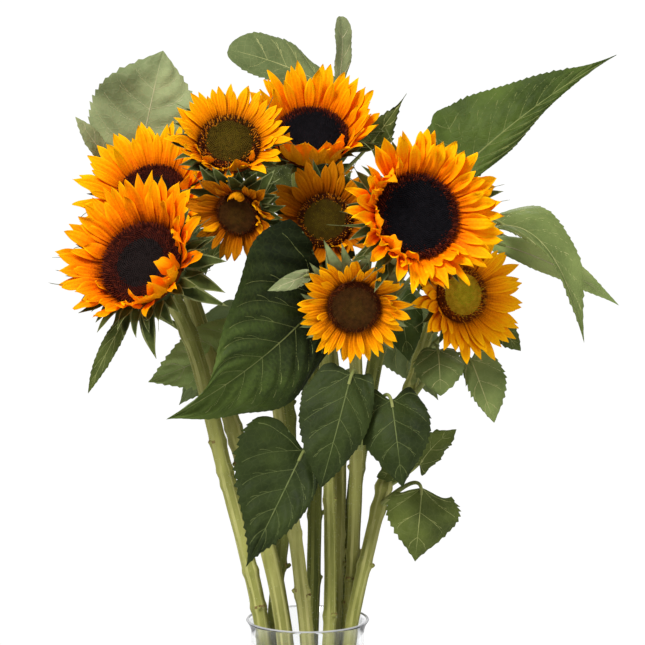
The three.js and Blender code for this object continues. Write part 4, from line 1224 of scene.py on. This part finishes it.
def cut_teeth(surface, entry, along, teeth, random):
    """Moves the margins' points out and ahead, so that they are cut into uneven teeth."""
    rows = len(along)
    depth = entry["teeth"] * min(DEEPEST_TOOTH, 0.03 * entry["width"] + 0.6)
    for column, inward in ((0, 1), (-1, -2)):
        sizes = np.repeat(random.uniform(0.25, 1.3, teeth + 1), 3)[:rows]
        bite = TOOTH_SHAPE[np.arange(rows) % 3] * sizes * depth
        bite *= np.minimum(along * 8, 1) * np.minimum((1 - along) * 5, 1)
        way = unit(surface[:, column] - surface[:, inward])
        ahead = unit(np.gradient(surface[:, column], axis=0))
        surface[:, column] += way * bite[:, None] + ahead * (0.6 * bite)[:, None]


def painted_shadow_tones(along, t, random):
    """The upper side's finish at each face of a leaf with a painted shadow, darker toward its base, with a
    soft border.
    """
    s_face, t_face = middles(along)[:, None], middles(t)[None]
    wander = 0.05 * np.sin(7 * t_face + 3) + 0.03 * np.sin(19 * s_face + 11 * t_face)
    light = s_face + wander + 0.05 * random.uniform(-1, 1, (len(along) - 1, len(t) - 1))
    step = np.clip((light - 0.04) / 0.6 * PAINTED_SHADOW_STEPS, 0, PAINTED_SHADOW_STEPS).astype(int)
    return np.where(step < PAINTED_SHADOW_STEPS, 4 + step, 0).ravel()


def add_veins(shell, leaf):
    """The midrib and, on both sides, the side veins with their forks, as slender raised bars."""
    entry, girth = leaf.entry, MIDRIB + MIDRIB_GAIN * leaf.length
    reach = np.linspace(0, 0.97, 40)
    tube(shell, leaf.at(reach, 0 * reach), girth * (1.2 - 0.9 * reach), 6, 2, side=leaf.facing)
    for sign in (-1, 1):
        for k in range(-1, leaf.veins):
            start = max(k, 0) / leaf.veins
            if start > LAST_VEIN:
                continue
            a = np.linspace(0, 0.9 - 0.8 * start**2, 18)
            path_s = leaf.vein(start, a) if k >= 0 else 0.02 + 0.05 * a
            strength = 0.75 if k == 0 else 0.55
            radii = np.maximum(girth * strength * (1 - 0.7 * a), VEIN_LEAST * entry.get("veined", 1))
            tube(shell, leaf.at(path_s, sign * a), radii, 4, 2, side=leaf.facing)
            if k < 0 or entry["width"] < FORKED_FROM:
                continue
            for fork in VEIN_FORKS:
                b = np.linspace(0, 1, 7)
                fork_s = np.interp(fork, a, path_s) + 0.02 * b * (1 + b)
                path = leaf.at(fork_s, sign * (fork + 0.2 * b))
                tube(shell, path, VEIN_LEAST + 0 * b, 4, 2, side=leaf.facing)


def add_leaf_blade(shell, leaf, random):
    """A toothed, puckered blade with raised veins."""
    entry = leaf.entry
    teeth = max(5, round(leaf.length / TOOTH))
    along = np.linspace(0, 1, 3 * teeth + 1)
    t = np.linspace(-1, 1, 2 * max(5, round(entry["width"] / LEAF_COLUMN)) + 1)
    t = np.sign(t) * np.abs(t) ** 0.85
    surface = leaf.at(0.995 * along[:, None] * np.ones(len(t)), t * np.ones((len(along), 1)))
    cut_teeth(surface, entry, along, teeth, random)
    front, back = (1, 0) if entry.get("under") else (0, 1)
    if entry.get("dusk"):
        front = painted_shadow_tones(along, t, random)
    blade(shell, surface, LEAF_THICK, front, back)
    add_veins(shell, leaf)


def add_petiole(shell, leaf):
    """The leaf's stalk, from inside the flower's stalk to a little way along the midrib."""
    axis = stalk_axis(FLOWERS[leaf.entry["on"] - 1], 200)
    start = axis[int(np.argmin(abs(axis[:, 2] - leaf.entry["start"])))]
    far = np.linalg.norm(start - leaf.base)
    elbow = leaf.base - unit(leaf.tip - leaf.base) * 0.35 * far
    along, bar = np.linspace(0, 1, 26), PETIOLE_BAR
    radius = bar["end"] + bar["taper"] * (1 - along) + bar["swell"] * np.exp(-along * far / bar["root"])
    path = arch(start, elbow, leaf.at(0.1, 0.0), along)
    tube(shell, path, radius, bar["sides"], 3, side=leaf.facing)


def make_leaf(entry, random):
    """One leaf: its blade, the ears beside its base, and its petiole."""
    shell = Shell()
    leaf = Leaf(entry, random)
    add_leaf_blade(shell, leaf, random)
    for ear in entry.get("ears", ()):
        add_leaf_blade(shell, Leaf(dict(entry, **ear), random), random)
    add_petiole(shell, leaf)
    finishes = LEAF_FINISHES[entry["tone"]] + (LEAF_PAINTED_SHADOW if entry.get("dusk") else [])
    return keep(shell.piece(entry["name"] + "_blade", finishes), entry["name"])


# ---------------------------------------------------------------- the whole bunch

make_vase()
for number, flower in enumerate(FLOWERS, 1):
    random = np.random.RandomState(100 + number)
    stem = make_stalk(flower, number, [leaf["start"] for leaf in LEAVES if leaf["on"] == number], random)
    make_hairs(stem, number)
    make_bracts(flower, number, random)
    make_petals(flower, number, random)
    make_disc(flower, number)
for number, entry in enumerate(LEAVES):
    make_leaf(entry, np.random.RandomState(300 + number))

# ---------------------------------------------------------------- stage, light and camera

FLOOR_RADIUS, FLOOR_THICK, FLOOR_EDGE = 850, 6, 2
WHITE_SEEN, WHITE_LIGHT = 0.66, 0.36  # how much whiter the surround is where it is seen, and its own light
AIM, DISTANCE, TILT = (0.015, 0, 0.539), 1.9, 3.8  # what the camera looks at, from how far and how much above
SENSOR, FIELD = 36, 0.645  # the camera's sensor, and the width of its view at the bunch, in metres

# Each lamp's place, what it is aimed at, its width and its power.
LAMPS = dict(
    key=((-0.9, -1.5, 2.1), (0, 0, 0.55), 0.8, 54),
    fill=((1.6, -1.5, 1.0), (0, 0, 0.5), 1.2, 12),
    back=((0.5, 1.6, 1.7), (0, 0, 0.6), 1.0, 18),
)


def make_stage():
    """A round pale floor."""
    shell = Shell()
    bottom, bulge = -FLOOR_THICK, (FLOOR_RADIUS + FLOOR_EDGE, -FLOOR_THICK / 2)
    turned(shell, [(0, bottom), (FLOOR_RADIUS, bottom), bulge, (FLOOR_RADIUS, 0), (0, 0)], 96, 0)
    white, tree, bsdf = blank_finish("studio_floor", Roughness=0.9)
    place = node_of(tree, "ShaderNodeTexCoord").outputs["Object"]
    clouds = node_of(tree, "ShaderNodeTexNoise", Vector=place).outputs[0]
    ramp = node_of(tree, "ShaderNodeValToRGB", i0=clouds)
    low, high = ramp.color_ramp.elements
    low.color, high.color = (0.86, 0.86, 0.86, 1), (0.9, 0.9, 0.9, 1)
    tree.links.new(ramp.outputs[0], bsdf.inputs["Base Color"])
    shell.piece("studio_floor", [white])


def turn_toward(made, aim):
    """Turns a lamp or a camera to look at a point."""
    made.rotation_euler = (Vector(aim) - made.location).to_track_quat("-Z", "Y").to_euler()


def make_lamp(name, place, aim, size, power):
    lamp = bpy.data.lights.new(name, "AREA")
    lamp.shape, lamp.size, lamp.energy = "DISK", size, power
    made = linked(name, lamp)
    made.location = place
    turn_toward(made, aim)


def make_surround():
    """A white surround, which lights little but shows white itself."""
    world = bpy.data.worlds.new("studio")
    bpy.context.scene.world = world
    world.use_nodes = True
    tree = world.node_tree
    kind = node_of(tree, "ShaderNodeLightPath").outputs
    either = dict(operation="MAXIMUM")
    seen = node_of(tree, "ShaderNodeMath", either, i0=kind["Is Camera Ray"], i1=kind["Is Singular Ray"])
    summed = dict(operation="MULTIPLY_ADD")
    strength = node_of(tree, "ShaderNodeMath", summed, i0=seen.outputs[0], i1=WHITE_SEEN, i2=WHITE_LIGHT)
    tree.links.new(strength.outputs[0], tree.nodes["Background"].inputs["Strength"])
    tree.nodes["Background"].inputs["Color"].default_value = (1, 1, 1, 1)


def make_camera():
    camera = bpy.data.cameras.new("camera")
    camera.sensor_width, camera.lens = SENSOR, SENSOR * DISTANCE / FIELD
    made = linked("camera", camera)
    tilt = rad(TILT)
    made.location = Vector(AIM) + Vector((0, -math.cos(tilt), math.sin(tilt))) * DISTANCE
    turn_toward(made, AIM)
    bpy.context.scene.camera = made


make_stage()
make_surround()
for name, lamp in LAMPS.items():
    make_lamp(f"lamp_{name}", *lamp)
make_camera()
bpy.context.scene.view_settings.view_transform = "Standard"
